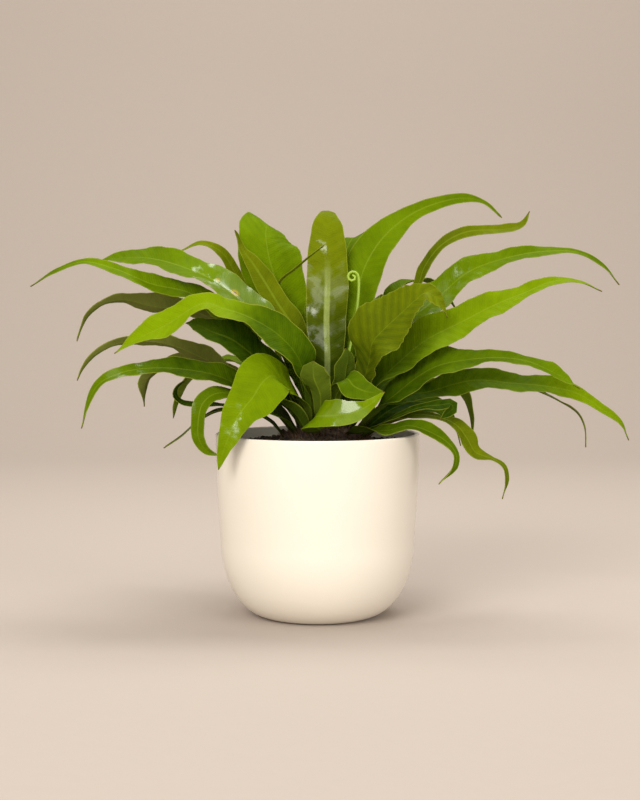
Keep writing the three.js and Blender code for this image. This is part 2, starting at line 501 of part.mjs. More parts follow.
// A closed skin over a row of cross-sections, with both faces split along the same diagonals.
function skin(sections, columns) {
  const vertices = sections.flatMap(({ upper, lower }) => (
    [...upper, ...lower].flatMap((point) => point.toArray())
  ));
  const ring = 2 * (columns + 1);
  const upperAt = (row, column) => row * ring + column;
  const lowerAt = (row, column) => row * ring + columns + 1 + column;
  const triangles = [];
  const quad = (a, b, c, d) => triangles.push(a, b, c, a, c, d);
  for (let row = 0; row < sections.length - 1; row += 1) {
    for (let column = 0; column < columns; column += 1) {
      quad(upperAt(row, column), upperAt(row, column + 1),
        upperAt(row + 1, column + 1), upperAt(row + 1, column));
      quad(lowerAt(row, column), lowerAt(row + 1, column),
        lowerAt(row + 1, column + 1), lowerAt(row, column + 1));
    }
    quad(upperAt(row, 0), upperAt(row + 1, 0), lowerAt(row + 1, 0), lowerAt(row, 0));
    quad(upperAt(row, columns), lowerAt(row, columns),
      lowerAt(row + 1, columns), upperAt(row + 1, columns));
  }
  const end = sections.length - 1;
  for (let column = 0; column < columns; column += 1) {
    quad(upperAt(0, column), lowerAt(0, column), lowerAt(0, column + 1), upperAt(0, column + 1));
    quad(upperAt(end, column), upperAt(end, column + 1),
      lowerAt(end, column + 1), lowerAt(end, column));
  }
  const geometry = new THREE.BufferGeometry();
  geometry.setAttribute("position", new THREE.Float32BufferAttribute(vertices, 3));
  geometry.setIndex(triangles);
  geometry.computeVertexNormals();
  return geometry;
}

// Even distances from one length to another, the end included.
function evenDistances(from, to, step) {
  const count = Math.round((to - from) / step);
  return Array.from({ length: count }, (_, index) => from + ((to - from) * (index + 1)) / count);
}

// A frond: a straight stalk in its hole in the crown, then the blade along its route.
// The last part of its length may be a coil, which gets closer cross-sections.
function frondGeometry(foot, direction, rows, form) {
  const facing = new THREE.Vector3(-Math.cos(toRadians(direction)), -Math.sin(toRadians(direction)), 0);
  const samples = sampleRoute(foot, facing, rows);
  const length = samples[samples.length - 1].distance;
  const widest = Math.max(...rows.map((row) => row[3]));
  const columns = widest > WIDE_BLADE ? 4 : 2;
  const stalk = {
    up: facing,
    across: new THREE.Vector3(0, 0, 1).cross(facing),
    halfWidth: STALK_HALF_WIDTH,
    distance: 0,
  };
  const buried = { ...stalk, place: foot.clone().setZ(foot.z - STALK_DEPTH) };
  const surface = { ...stalk, place: samples[0].place };
  const sections = [buried, surface].map((sample) => sectionPoints(sample, columns, form, 0));
  const distances = [
    ...evenDistances(0, length - form.coil, form.step),
    ...evenDistances(length - form.coil, length, CROZIER_STATION_LENGTH),
  ];
  distances.forEach((distance) => {
    const past = smoothStep(0, STALK_SHARE, distance / length);
    sections.push(sectionPoints(sampleAt(samples, distance), columns, form, past));
  });
  return skin(sections, columns);
}

// The crozier's route: up its stalk, then inward round a spiral.
function crozierRows() {
  const [x, y, z] = CROZIER_CENTRE;
  const coil = [];
  for (let point = 0; point <= CROZIER_POINTS; point += 1) {
    const share = point / CROZIER_POINTS;
    const angle = 2 * Math.PI * CROZIER_TURNS * share;
    const radius = CROZIER_RADIUS * (1 - CROZIER_CLOSING * share);
    coil.push([x + radius * Math.cos(angle), y, z + radius * Math.sin(angle), CROZIER_HALF_WIDTH, 0]);
  }
  return [...CROZIER_STALK, ...coil];
}

const group = new THREE.Group();

function addPart(name, geometry, colour, roughness) {
  const material = new THREE.MeshStandardMaterial({ color: COLOURS[colour], roughness, metalness: 0 });
  const mesh = new THREE.Mesh(geometry, material);
  mesh.name = name;
  group.add(mesh);
}

const feet = [...FRONDS.map(({ foot }) => foot), CROZIER_FOOT].map(footPoint);

addPart("pot", potGeometry(), "pot", 0.6);
addPart("soil", soilGeometry(), "soil", 0.95);
addPart("crown", crownGeometry(feet), "crown", 0.9);
FRONDS.forEach(({ name, colour, foot, route, fold = BLADE_FOLD, step = STATION_LENGTH }, index) => {
  const form = { fold, step, phase: index * WAVE_FROND_SHIFT, blade: 1, slimming: 0, coil: 0 };
  addPart(name, frondGeometry(footPoint(foot), foot[1], route, form), colour, 0.35);
});
const crozierForm = {
  fold: 0,
  step: STATION_LENGTH,
  phase: 0,
  blade: 0,
  slimming: CROZIER_SLIMMING,
  coil: CROZIER_COIL_LENGTH,
};
const crozier = frondGeometry(footPoint(CROZIER_FOOT), CROZIER_FOOT[1], crozierRows(), crozierForm);
addPart("crozier", crozier, "bright", 0.4);

export default group;
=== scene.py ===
import math
import random

import bmesh
import bpy
from mathutils import Matrix, Vector, noise


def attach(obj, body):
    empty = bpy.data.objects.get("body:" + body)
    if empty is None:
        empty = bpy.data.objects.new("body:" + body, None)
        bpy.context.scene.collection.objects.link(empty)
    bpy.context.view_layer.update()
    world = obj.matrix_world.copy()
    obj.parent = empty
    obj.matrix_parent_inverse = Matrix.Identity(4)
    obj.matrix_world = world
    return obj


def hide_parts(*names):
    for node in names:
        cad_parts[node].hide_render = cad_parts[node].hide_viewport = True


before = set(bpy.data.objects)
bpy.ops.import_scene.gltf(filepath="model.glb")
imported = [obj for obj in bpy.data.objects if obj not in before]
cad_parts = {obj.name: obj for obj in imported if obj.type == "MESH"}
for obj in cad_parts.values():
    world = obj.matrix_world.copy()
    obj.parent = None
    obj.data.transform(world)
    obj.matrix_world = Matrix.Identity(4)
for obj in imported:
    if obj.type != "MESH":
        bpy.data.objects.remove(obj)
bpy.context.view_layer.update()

# Potted bird's nest fern. The tables and dimensions are in millimetres, in the frame of the packed
# part: +Z up, the origin at the middle of the pot's flat base, and the plant seen from -Y.
MM = 0.001

# Pot
POT_HEIGHT = 183
POT_RADIUS = 102
POT_SHOULDER_RADIUS = 97
POT_SHOULDER_HEIGHT = 76
POT_BASE_RADIUS = 50
POT_WALL = 4.5
POT_FLOOR = 8
RIM_ROUND = 1.4
POT_STEPS = 160
CORNER_STEPS = 28
WALL_STEPS = 16
RIM_STEPS = 6

# Soil and crown
SOIL_TOP = 172
SOIL_MOUND = 3
SOIL_GAP = 0.3
CROWN_X = 8
CROWN_RADIUS = 46
CROWN_BOTTOM = 148
CROWN_TOP = 190
CROWN_EDGE_DROP = 12
CROWN_CORNER = 7
CROWN_STEPS = 140
CROWN_RINGS = 30
CROWN_NOISE = 160
CROWN_ROUGHNESS = 2.2
SOIL_STEPS = 150
SOIL_RINGS = 44
SOIL_NOISE = 0.06
SOIL_ROUGHNESS = 2.2
SOIL_SMOOTH_EDGE = 8
SOIL_SINK = 12
SOIL_SINK_EDGE = 10

# Stalks and blades
STALK_HALF_WIDTH = 2.3
STALK_THICKNESS = 3.8
STALK_DEPTH = 9
STALK_RISE = 0.6
STALK_SHARE = 0.12
BLADE_THICKNESS = 1.2
BLADE_EDGE = 0.5
WAVE_HEIGHT = 2
WAVE_LENGTH = 58
WAVE_FADE = 1.5
WAVE_FULL_HALF_WIDTH = 14
WAVE_EDGE_SHIFT = 1.3
WAVE_FROND_SHIFT = 1.7
ROUTE_SAMPLES = 160
ROUTE_NUDGE = 0.002
UPRIGHT_LENGTH = 18

# Finer form of the blades
ROW_LENGTH = 3.2
WIDE_COLUMNS = 22
NARROW_COLUMNS = 12
WIDE_BLADE = 8
COLUMN_CROWDING = 1.5
TIP_LENGTH = 7
TIP_STRETCH = 1.5
TIP_REACH = 3
EDGE_WANDER = 0.035
EDGE_WANDER_PACE = 0.03
EDGE_WANDER_SHIFT = 7.0
FOLD_ROUNDING = 0.1
RIPPLE_HEIGHT = 0.5
RIPPLE_LENGTH = 21
PLEAT_HEIGHT = 0.2
PLEAT_LENGTH = 10
PLEAT_SLANT = 0.7
RIB_WIDTH = 1.1
RIB_ABOVE = 0.3
RIB_BELOW = 0.8

# Crumbs, dry hairs and stumps of old stalks. A pair is the least and the greatest.
CRUMB_REACH = 93
CRUMB_COUNT = 700
CRUMB_SIZES = (0.7, 2.2)
PERLITE_COUNT = 90
PERLITE_SIZES = (0.6, 1.3)
CRUMB_NOISE = 900
CRUMB_ROUGHNESS = 0.25
HAIR_COUNT = 1500
HAIR_SPREAD = 2.8
HAIR_LENGTHS = (3.5, 8.5)
HAIR_RADII = (0.25, 0.6)
HAIR_TIP_RADIUS = 0.05
HAIR_SIDES = 3
HAIR_SUNK = 1
STUMP_COUNT = 34
STUMP_TURN = 2.4
STUMP_LENGTHS = (6, 12)
STUMP_RADIUS = 2.4
STUMP_TOP_RADII = (1.2, 1.9)
STUMP_SIDES = 9
STUMP_SUNK = 3
STUMP_NOISE = 300
STUMP_ROUGHNESS = 0.5

# Crozier, the rolled young frond
CROZIER_FOOT = (9, 20)
CROZIER_STALK = [(21, 1, 222, 2.1, 0), (33, 6, 270, 2, 0), (40, 6, 309, 1.8, 0)]
CROZIER_CENTRE = (35, 6, 339)
CROZIER_RADIUS = 6
CROZIER_TURNS = 1.25
CROZIER_CLOSING = 0.66
CROZIER_HALF_WIDTH = 1.6
CROZIER_SLIMMING = 0.48
CROZIER_POINTS = 12

# What a frond is like where its row in the table doesn't say otherwise. Blade is 0 for the round
# crozier, slimming thins its end, and phase shifts the waves of a blade.
PLAIN_FROND = {
    "fold": 14,
    "tip": 1.3,
    "rib": 0.8,
    "edge": 0.5,
    "pleat": 0,
    "tone": (0.1, 0.4, 0.6, 0.6),
    "gloss": (0.1, 0.2, 0.15),
    "blade": 1,
    "slimming": 0,
    "phase": 0,
}


def frond(name, leaf, foot, **own):
    """A row of the table of fronds, with what is its own in place of what is plain."""
    return {**PLAIN_FROND, "name": name, "leaf": leaf, "finish": leaf, "foot": foot, **own}


# Every frond has a name, a kind of leaf, a foot in the crown, as (distance from the crown's axis,
# direction in degrees), and a route of (x, y, z, half width, roll in degrees) from the stalk to
# the tip. Its shade list and gloss are given at places from the stalk to the tip. The shade list runs
# from 0, old and dark, to 1, young and bright, and also carries painted shade: it is kept low near the
# crown and along fronds that lie in shade, so that these are painted darker. Tip and rib are half
# widths, pleat is a height, edge says how light its margin is, fold is an angle, and finish is the
# kind of leaf that it looks like.
FRONDS = [
    # Left side, from the highest frond down
    frond("frond_left_top", "deep", (17.5, 189), tone=(0.1, 0.4, 0.75, 0.85, 0.75, 0.6),
          gloss=(0.1, 0.9, 1.1, 0.3, 0.1), route=[
        (-14, -1, 216, 8, -5), (-26, -2, 258, 14, -14), (-62, -3, 301, 24, -45), (-95, -2, 330, 22, -42),
        (-128, 4, 346, 20.5, -45), (-166, 12, 357, 19, -48), (-196, 12, 358, 9.5, -52),
        (-219, 10, 355, 1.4, -30)]),
    frond("frond_left_long", "deep", (26, 178), tone=(0.1, 0.3, 0.6, 0.8, 0.8, 0.6), route=[
        (-28, 5, 214, 6, 0), (-48, 8, 247, 13, -12), (-78, 7, 284, 16, -28), (-124, 0, 321, 14, -38),
        (-167, -4, 332, 11.5, -42), (-200, -8, 346, 7.5, -42), (-231, -10, 353, 5, -35),
        (-255, -12, 346, 3.5, -36), (-284, -12, 329, 1.2, 0)]),
    frond("frond_left_behind", "olive", (26, 152), rib=0.7, tone=(0.1, 0.5, 0.75, 0.6), route=[
        (-24, 24, 213, 9, 0), (-46, 36, 244, 14, 10), (-82, 46, 280, 16, 25), (-128, 52, 306, 14.5, 46),
        (-168, 54, 310, 17, 44), (-200, 53, 317, 10, 46), (-223, 51, 312, 4, 45), (-237, 49, 301, 3.5, 46),
        (-243, 48, 289, 2, 45), (-248, 47, 274, 1.2, 40)]),
    frond("frond_left_bright", "bright", (17.5, 222), edge=0.8,
          tone=(0.05, 0.1, 0.15, 0.2, 0.9, 1.0, 1.0, 0.95), route=[
        (-10, -21, 215, 8, -30), (-18, -30, 256, 24, -68), (-38, -37, 281, 24.5, -74),
        (-70, -42, 300, 15, -70), (-92, -47, 307, 16.5, -64), (-109, -50, 312, 12.5, -62),
        (-147, -55, 290, 21, -60), (-178, -58, 275, 9, -60), (-195, -60, 264, 1.4, -30)]),
    # Painted shade: this frond's leaf stays dark all along, as it lies in the shade of the frond above it.
    frond("frond_left_shaded", "deep", (26, 201), rib=1.4, edge=0.7, tone=(0.0, 0.05, 0.1, 0.2, 0.3),
          route=[
        (-24, -13, 206, 9, -10), (-47, -18, 247, 21, -51), (-66, -23, 263, 23, -50),
        (-85, -27, 277, 24, -52), (-103, -29, 284, 20, -48), (-118, -30, 291, 12, -46),
        (-129, -30, 293, 1.4, -30)]),
    frond("frond_left_low_olive", "olive", (34, 168), rib=0.7, tone=(0.1, 0.4, 0.7, 0.7), route=[
        (-40, 9, 205, 9, 0), (-72, 9, 234, 14, 5), (-119, 13, 260, 16, 49), (-155, 12, 273, 11, 48),
        (-195, 11, 274, 7.5, 47), (-217, 10, 266, 4.5, 45), (-229, 9, 257, 3.5, 45),
        (-236, 9, 248, 2.5, 44), (-242, 9, 235, 1.2, 30)]),
    frond("frond_left_low", "deep", (34, 198), edge=0.7, tone=(0.1, 0.2, 0.4, 0.7, 0.8),
          gloss=(0.1, 0.2, 0.7, 0.3), route=[
        (-38, -16, 201, 8, -5), (-62, -23, 221, 16, -15), (-95, -33, 240, 18, -37),
        (-125, -38, 247, 15, -36), (-161, -43, 249, 12, -36), (-189, -46, 245, 8, -36),
        (-210, -47, 235, 7.5, -38), (-219, -48, 223, 5.5, -40), (-229, -48, 191, 1.2, 0)]),
    frond("frond_left_drooping", "olive", (34, 150), tone=(0.1, 0.4, 0.7, 0.6), route=[
        (-37, 25, 203, 7, 0), (-64, 40, 232, 12, 0), (-105, 44, 250, 11, 58), (-141, 42, 256, 8.5, 58),
        (-169, 39, 242, 9, 58), (-177, 38, 231, 8.5, 56), (-178, 38, 207, 1.2, 30)]),
    frond("frond_left_curly", "deep", (34, 214), tone=(0.2, 0.4, 0.6, 0.6), gloss=(0.2, 0.5, 0.5),
          route=[
        (-33, -30, 199, 6, -10), (-58, -38, 210, 9, -20), (-84, -44, 224, 9, -35),
        (-100, -47, 224, 9, -50), (-111, -49, 215, 9, -60), (-115, -50, 199, 8, -60),
        (-115, -50, 182, 7, -60), (-108, -50, 171, 5, -50), (-95, -51, 165, 1.2, -40)]),
    frond("frond_left_loop", "deep", (42, 189), tone=(0.1, 0.1, 0.1), route=[
        (-46, -11, 195, 4.5, 0), (-70, -15, 207, 7, 0), (-98, -19, 212, 7, 0), (-121, -21, 211, 7, -10),
        (-134, -22, 214, 6, -20), (-141, -22, 222, 5, -20), (-139, -22, 230, 3, -20),
        (-129, -22, 238, 1, -20)]),
    frond("frond_left_tail", "olive", (42, 176), tone=(0.1, 0.15, 0.2), route=[
        (-48, 3, 195, 4.5, 0), (-74, 3, 206, 6, 0), (-102, 1, 204, 5.5, 0), (-124, -2, 191, 4, 0),
        (-136, -3, 180, 3, 0), (-154, -4, 168, 1, 0)]),

    # Front
    frond("frond_front_left", "bright", (26, 232), edge=0.3, tone=(0.3, 0.7, 0.8, 0.8, 0.75),
          gloss=(0.1, 0.1, 0.2, 0.6, 0.3), route=[
        (-13, -32, 212, 8, -20), (-33, -43, 234, 23, -51), (-44, -54, 242, 27, -50),
        (-53, -64, 236, 27.5, -58), (-62, -72, 222, 24, -58), (-74, -79, 207, 17, -50),
        (-83, -82, 188, 11, -47), (-89, -82, 172, 6, -43), (-94, -81, 154, 1.2, -40)]),
    frond("frond_front_short", "olive", (17.5, 256), finish="deep", pleat=0.5,
          tone=(0.4, 0.8, 0.9, 0.8), route=[
        (3, -31, 206, 7, 0), (3, -45, 224, 11, 0), (-3, -56, 240, 15.5, 0), (-4, -62, 251, 11, 0),
        (-4, -64, 257, 2, 0)]),
    frond("frond_front_deep", "deep", (9, 308), tip=5, tone=(0.1, 0.4, 0.5, 0.5), gloss=(0.2, 0.3),
          route=[
        (17, -9, 216, 7, 0), (26, -12, 234, 12, 0), (28, -13, 248, 14, 0), (30, -13, 259, 9, 0),
        (28, -13, 268, 1.4, 0)]),
    frond("frond_front_low", "deep", (34, 246), tone=(0.0, 0.05, 0.1), route=[
        (-12, -36, 191, 6, -20), (-20, -42, 204, 11, -40), (-31, -45, 214, 12, -45),
        (-43, -47, 220, 8, -40), (-53, -48, 221, 1.2, -30)]),
    frond("frond_front_bright", "bright", (29, 264), tone=(0.3, 0.6, 0.7, 0.8),
          gloss=(0.2, 0.5, 0.9, 0.4), route=[
        (-4, -46, 196, 14, 10), (-1, -62, 203, 19, 30), (15, -73, 205, 16, 45), (34, -79, 208, 12, 50),
        (50, -81, 216, 7, 45), (64, -78, 228, 1.2, 40)]),
    frond("frond_front_upper", "deep", (17.5, 289), tone=(0.2, 0.4, 0.5), gloss=(0.2, 0.5, 0.2), route=[
        (15, -28, 213, 6, 0), (23, -40, 233, 9, 20), (29, -51, 239, 12, 40), (36, -62, 232, 14, 50),
        (50, -67, 227, 9, 50), (63, -69, 228, 1.2, 45)]),

    # Middle
    frond("frond_upright_centre", "deep", (9, 92), fold=-6, finish="olive", tip=7, rib=3.4,
          tone=(0.0, 0.1, 0.3, 0.7, 0.9, 0.8, 0.7), gloss=(0.0, 0.3, 0.75, 0.8, 0.6, 0.2, 0.1), route=[
        (9, 12, 220, 10, 0), (10, 14, 255, 16, 0), (9, 16, 290, 20, 0), (10, 18, 330, 21.5, 0),
        (10, 22, 364, 20, 0), (10, 30, 390, 16, 0), (11, 42, 406, 8, 0), (12, 62, 405, 4, 0),
        (12, 84, 388, 1.4, 0)]),
    frond("frond_upright_broad", "deep", (26, 127), fold=4, tip=6, pleat=0.4,
          tone=(0.1, 0.4, 0.85, 0.9, 0.8), route=[
        (-10, 27, 218, 9, 0), (-22, 36, 258, 16, -15), (-34, 40, 296, 22, -25), (-41, 45, 328, 30.5, -22),
        (-50, 50, 359, 37, -8), (-54, 60, 383, 33, -2), (-53, 74, 395, 24, 0), (-54, 90, 393, 11, 4),
        (-57, 103, 380, 1.6, 0)]),
    frond("frond_upright_olive", "olive", (9, 164), rib=1.3, tone=(0.1, 0.5, 0.75, 0.8), route=[
        (-7, 14, 215, 7, -20), (-16, 21, 251, 10, -40), (-26, 23, 290, 13.5, -60), (-40, 24, 312, 12, -70),
        (-54, 26, 335, 11.5, -70), (-67, 25, 355, 8, -70), (-76, 23, 367, 4, -60), (-80, 18, 379, 2, -50),
        (-83, 11, 386, 1.2, -40)]),
    frond("frond_thin_arch", "deep", (17.5, 158), finish="olive", rib=0.6, tone=(0.4, 0.7, 0.8, 0.7),
          route=[
        (-20, 16, 214, 3.5, 0), (-42, 40, 262, 5, 0), (-64, 56, 308, 6.5, -20), (-85, 60, 343, 7, -50),
        (-99, 59, 365, 5.5, -50), (-120, 57, 375, 3.5, -30), (-143, 55, 366, 1, 0)]),
    frond("frond_thin_whip", "olive", (17.5, 126), rib=0.6, tone=(0.5, 0.5), route=[
        (-9, 19, 216, 3, 0), (-21, 26, 260, 3, 0), (-36, 32, 300, 3, 0), (-44, 34, 322, 2.6, 0),
        (-38, 28, 336, 2.2, 0), (-24, 20, 347, 1.8, 0), (-8, 9, 360, 1.4, 0), (7, 5, 371, 0.9, 0)]),
    frond("frond_arching_right", "deep", (17.5, 34), tone=(0.1, 0.5, 0.85, 0.8, 0.6), route=[
        (25, 14, 222, 8, 0), (31, 24, 266, 15, 20), (38, 30, 306, 19, 40), (48, 34, 349, 22, 40),
        (70, 38, 383, 16.5, 40), (104, 42, 408, 8, 50), (146, 43, 420, 5.5, 55), (170, 41, 416, 2, 50),
        (188, 38, 400, 1.2, 30)]),
    frond("frond_thin_curve", "olive", (17.5, 3), tone=(0.1, 0.4, 0.6, 0.8), route=[
        (30, 4, 216, 3.5, 0), (43, 13, 260, 6, 10), (61, 20, 302, 8, 20), (100, 23, 328, 6.5, 38),
        (109, 22, 350, 8, 40), (124, 20, 370, 7, 50), (149, 18, 384, 6.5, 60), (190, 16, 387, 6, 50),
        (206, 15, 392, 4.5, 40), (213, 14, 405, 1, 30)]),
    frond("frond_pleated", "bright", (17.5, 322), finish="olive", pleat=1.0, rib=0.5,
          tone=(0.05, 0.3, 0.55, 0.6, 1.0), route=[
        (41, -25, 220, 8.5, 64), (51, -36, 256, 23, 69), (54, -42, 274, 37.5, 69), (65, -45, 287, 38, 75),
        (81, -47, 302, 31, 72), (95, -50, 315, 21.5, 66), (105, -52, 322, 12, 63),
        (116, -52, 315, 10.5, 65), (126, -50, 298, 1.2, 40)]),

    # Right side, from the highest frond down
    frond("frond_right_top", "deep", (26, 6), tone=(0.1, 0.5, 0.85, 0.7, 0.55),
          gloss=(0.1, 1.0, 0.7, 0.1, 0.1), route=[
        (43, 5, 216, 7, 0), (61, 10, 252, 13, 15), (85, 12, 287, 19, 30), (123, 12, 320, 20.5, 42),
        (152, 10, 344, 16, 45), (187, 10, 357, 12, 40), (225, 9, 364, 8, 34), (261, 8, 363, 3.5, 35),
        (285, 7, 351, 3, 40), (302, 5, 331, 1.2, 0)]),
    frond("frond_right_bright", "bright", (26, 345), tone=(0.1, 0.4, 0.85, 0.9, 0.8), route=[
        (43, -11, 209, 8, 0), (62, -19, 235, 18, 25), (85, -23, 258, 24, 42), (107, -25, 276, 25, 52),
        (142, -25, 294, 20, 55), (173, -27, 310, 16, 52), (202, -28, 322, 11.5, 45),
        (233, -28, 334, 6, 42), (257, -28, 333, 2.5, 43), (279, -26, 324, 1, 0)]),
    frond("frond_right_middle", "deep", (34, 327), tone=(0.1, 0.3, 0.45, 0.7, 0.85), route=[
        (49, -25, 199, 9, 10), (78, -34, 224, 17.5, 54), (96, -38, 239, 22, 58), (117, -40, 251, 26, 55),
        (145, -42, 257, 15.5, 58), (176, -42, 259, 9.5, 56), (203, -42, 256, 8, 58),
        (225, -41, 247, 11.5, 60), (242, -40, 238, 6.5, 62), (256, -39, 229, 1.2, 0)]),
    frond("frond_right_long", "bright", (34, 356), tone=(0.1, 0.1, 0.25, 0.4, 0.8, 0.8), route=[
        (57, -4, 202, 7.5, 0), (83, -6, 220, 16, 30), (110, -7, 224, 10, 48), (136, -9, 232, 14, 60),
        (159, -10, 236, 14.5, 50), (191, -10, 233, 14, 34), (226, -10, 230, 14, 40), (258, -9, 223, 8, 60),
        (283, -8, 207, 6, 50), (302, -7, 194, 3.5, 42), (311, -6, 176, 1.2, 0)]),
    frond("frond_right_thin", "olive", (34, 12), tone=(0.1, 0.3, 0.3, 0.2), route=[
        (57, 11, 202, 6, 0), (92, 17, 224, 10, 0), (130, 20, 236, 10, 0), (175, 20, 236, 9, 0),
        (215, 19, 227, 7, 0), (245, 18, 214, 5, 0), (264, 17, 201, 4, 0), (271, 16, 186, 2.5, 0),
        (272, 16, 167, 1, 0)]),
    frond("frond_right_kinked", "deep", (42, 325), tone=(0.1, 0.15, 0.1), route=[
        (54, -32, 190, 5, 0), (81, -37, 203, 5.5, 44), (103, -39, 211, 5, 44), (119, -42, 213, 8, 50),
        (130, -43, 214, 8.5, 50), (132, -44, 211, 6, 50), (126, -45, 206, 5, 50), (119, -46, 200, 1, 50)]),
    frond("frond_right_trailing", "olive", (42, 341), tone=(0.2, 0.4, 0.8, 0.6), gloss=(0.1, 0.4, 0.3),
          route=[
        (63, -18, 191, 7, 0), (98, -24, 202, 6.5, 40), (120, -28, 200, 4.5, 40), (137, -30, 192, 8.5, 50),
        (147, -31, 179, 11, 50), (155, -31, 166, 10.5, 40), (173, -31, 159, 3, 38),
        (183, -31, 152, 3.5, 40), (186, -31, 139, 3, 46), (182, -31, 120, 1, 0)]),
    frond("frond_right_over_rim", "deep", (34, 308), edge=0.8, tone=(0.2, 0.4, 0.5, 0.8), route=[
        (42, -41, 188, 8, 0), (69, -51, 189, 10, 52), (88, -58, 194, 10.5, 55), (106, -59, 189, 11, 57),
        (125, -60, 178, 6.5, 61), (133, -60, 167, 5, 64), (132, -60, 156, 5.5, 66),
        (117, -60, 138, 1.2, 20)]),

    # Far side
    frond("frond_back_tall", "deep", (17.5, 65), route=[
        (14, 27, 220, 6, 0), (16, 45, 276, 13, 0), (21, 66, 328, 17, 0), (29, 90, 364, 17, 0),
        (38, 114, 383, 13, 0), (46, 142, 379, 8, 0), (52, 162, 361, 3.5, 0), (54, 171, 345, 1.2, 0)]),
    frond("frond_back_inner", "bright", (17.5, 96), route=[
        (8, 32, 216, 6, 0), (4, 58, 266, 13, 0), (-1, 88, 304, 18, 0), (-7, 120, 326, 17, 0),
        (-15, 152, 326, 12, 0), (-21, 174, 308, 6, 0), (-24, 184, 288, 1.2, 0)]),
    frond("frond_back_right_high", "deep", (26, 30), route=[
        (39, 21, 214, 6, 0), (53, 35, 258, 12, 0), (69, 49, 302, 15, 0), (86, 61, 330, 15, 0),
        (108, 72, 337, 12, 0), (130, 82, 326, 7, 0), (148, 88, 305, 1.2, 0)]),
    frond("frond_back_right", "bright", (26, 58), route=[
        (25, 35, 213, 7, 0), (32, 62, 253, 15, 0), (41, 93, 290, 20, 0), (51, 130, 311, 20, 0),
        (62, 170, 309, 16, 0), (72, 205, 291, 10, 0), (80, 232, 264, 4, 0), (83, 243, 244, 1.2, 0)]),
    frond("frond_back_left_high", "deep", (26, 108), route=[
        (-6, 36, 212, 7, 0), (-19, 65, 252, 15, 0), (-34, 101, 286, 20, 0), (-49, 140, 298, 19, 0),
        (-62, 176, 288, 13, 0), (-73, 203, 264, 7, 0), (-79, 217, 240, 1.2, 0)]),
    frond("frond_back_left", "bright", (34, 130), route=[
        (-27, 41, 204, 6, 0), (-50, 67, 232, 14, 0), (-80, 93, 250, 19, 0), (-111, 122, 250, 16, 0),
        (-139, 148, 232, 10, 0), (-157, 164, 203, 4, 0), (-161, 168, 186, 1.2, 0)]),
    frond("frond_back_low_left", "deep", (42, 116), route=[
        (-20, 55, 197, 8, 0), (-37, 74, 221, 15, 0), (-56, 99, 235, 18, 0), (-74, 125, 227, 15, 0),
        (-86, 144, 199, 8, 0), (-90, 151, 170, 1.2, 0)]),
    frond("frond_back_low", "deep", (34, 92), route=[
        (6, 48, 205, 7, 0), (4, 79, 232, 15, 0), (0, 117, 248, 19, 0), (-4, 155, 243, 18, 0),
        (-8, 190, 220, 12, 0), (-10, 210, 190, 5, 0), (-10, 216, 168, 1.2, 0)]),
    frond("frond_back_low_right", "deep", (36, 70), route=[
        (25, 47, 199, 6, 0), (35, 81, 220, 14, 0), (44, 119, 228, 17, 0), (51, 155, 216, 14, 0),
        (56, 181, 189, 8, 0), (57, 192, 157, 1.6, 0)]),
    frond("frond_back_side", "deep", (42, 24), tone=(0.0, 0.1, 0.2, 0.2), route=[
        (58, 21, 192, 9, 15), (79, 31, 206, 15, 35), (103, 41, 212, 16, 45), (127, 49, 203, 12, 45),
        (143, 54, 184, 6, 30), (149, 56, 165, 1.2, 15)]),
    frond("frond_back_low_side", "deep", (34, 42), route=[
        (45, 34, 203, 7, 0), (71, 58, 229, 15, 0), (100, 84, 245, 18, 0), (130, 109, 241, 15, 0),
        (155, 129, 220, 9, 0), (168, 139, 192, 4, 0), (170, 141, 172, 1.2, 0)]),
]


# Numbers and places along a frond

def smooth_step(low, high, value):
    share = min(max((value - low) / (high - low), 0.0), 1.0)
    return share * share * (3 - 2 * share)


def smooth_value(values, t):
    """A value that runs smoothly through a list of values, with t from 0 to 1 over the list."""
    last = len(values) - 1
    place = min(max(t, 0.0), 1.0) * last
    index = min(int(place), last - 1)
    share = place - index
    eased = (share + smooth_step(0, 1, share)) / 2
    return values[index] + (values[index + 1] - values[index]) * eased


def curve_point(points, t):
    """A point of the centripetal curve through the points, with t from 0 to 1."""
    last = len(points) - 1
    place = last * t
    index = min(int(place), last - 1)
    weight = place - index
    start, end = points[index], points[index + 1]
    before = points[index - 1] if index > 0 else 2 * points[0] - points[1]
    after = points[index + 2] if index + 2 <= last else 2 * points[last] - points[last - 1]
    gap_in = math.sqrt((start - before).length)
    gap = math.sqrt((end - start).length)
    gap_out = math.sqrt((after - end).length)
    slope_in = (start - before) / gap_in - (end - before) / (gap_in + gap) + (end - start) / gap
    slope_out = (end - start) / gap - (after - start) / (gap + gap_out) + (after - end) / gap_out
    rise_in, rise_out = slope_in * gap, slope_out * gap
    square = -3 * start + 3 * end - 2 * rise_in - rise_out
    cube = 2 * start - 2 * end + rise_in + rise_out
    return start + weight * (rise_in + weight * (square + weight * cube))


def crown_height(radius):
    return CROWN_TOP - CROWN_EDGE_DROP * (radius / CROWN_RADIUS) ** 2


def crown_place(radius, angle):
    return CROWN_X + radius * math.cos(angle), radius * math.sin(angle)


def foot_point(foot):
    radius, direction = foot
    x, y = crown_place(radius, math.radians(direction))
    return Vector((x, y, crown_height(radius)))


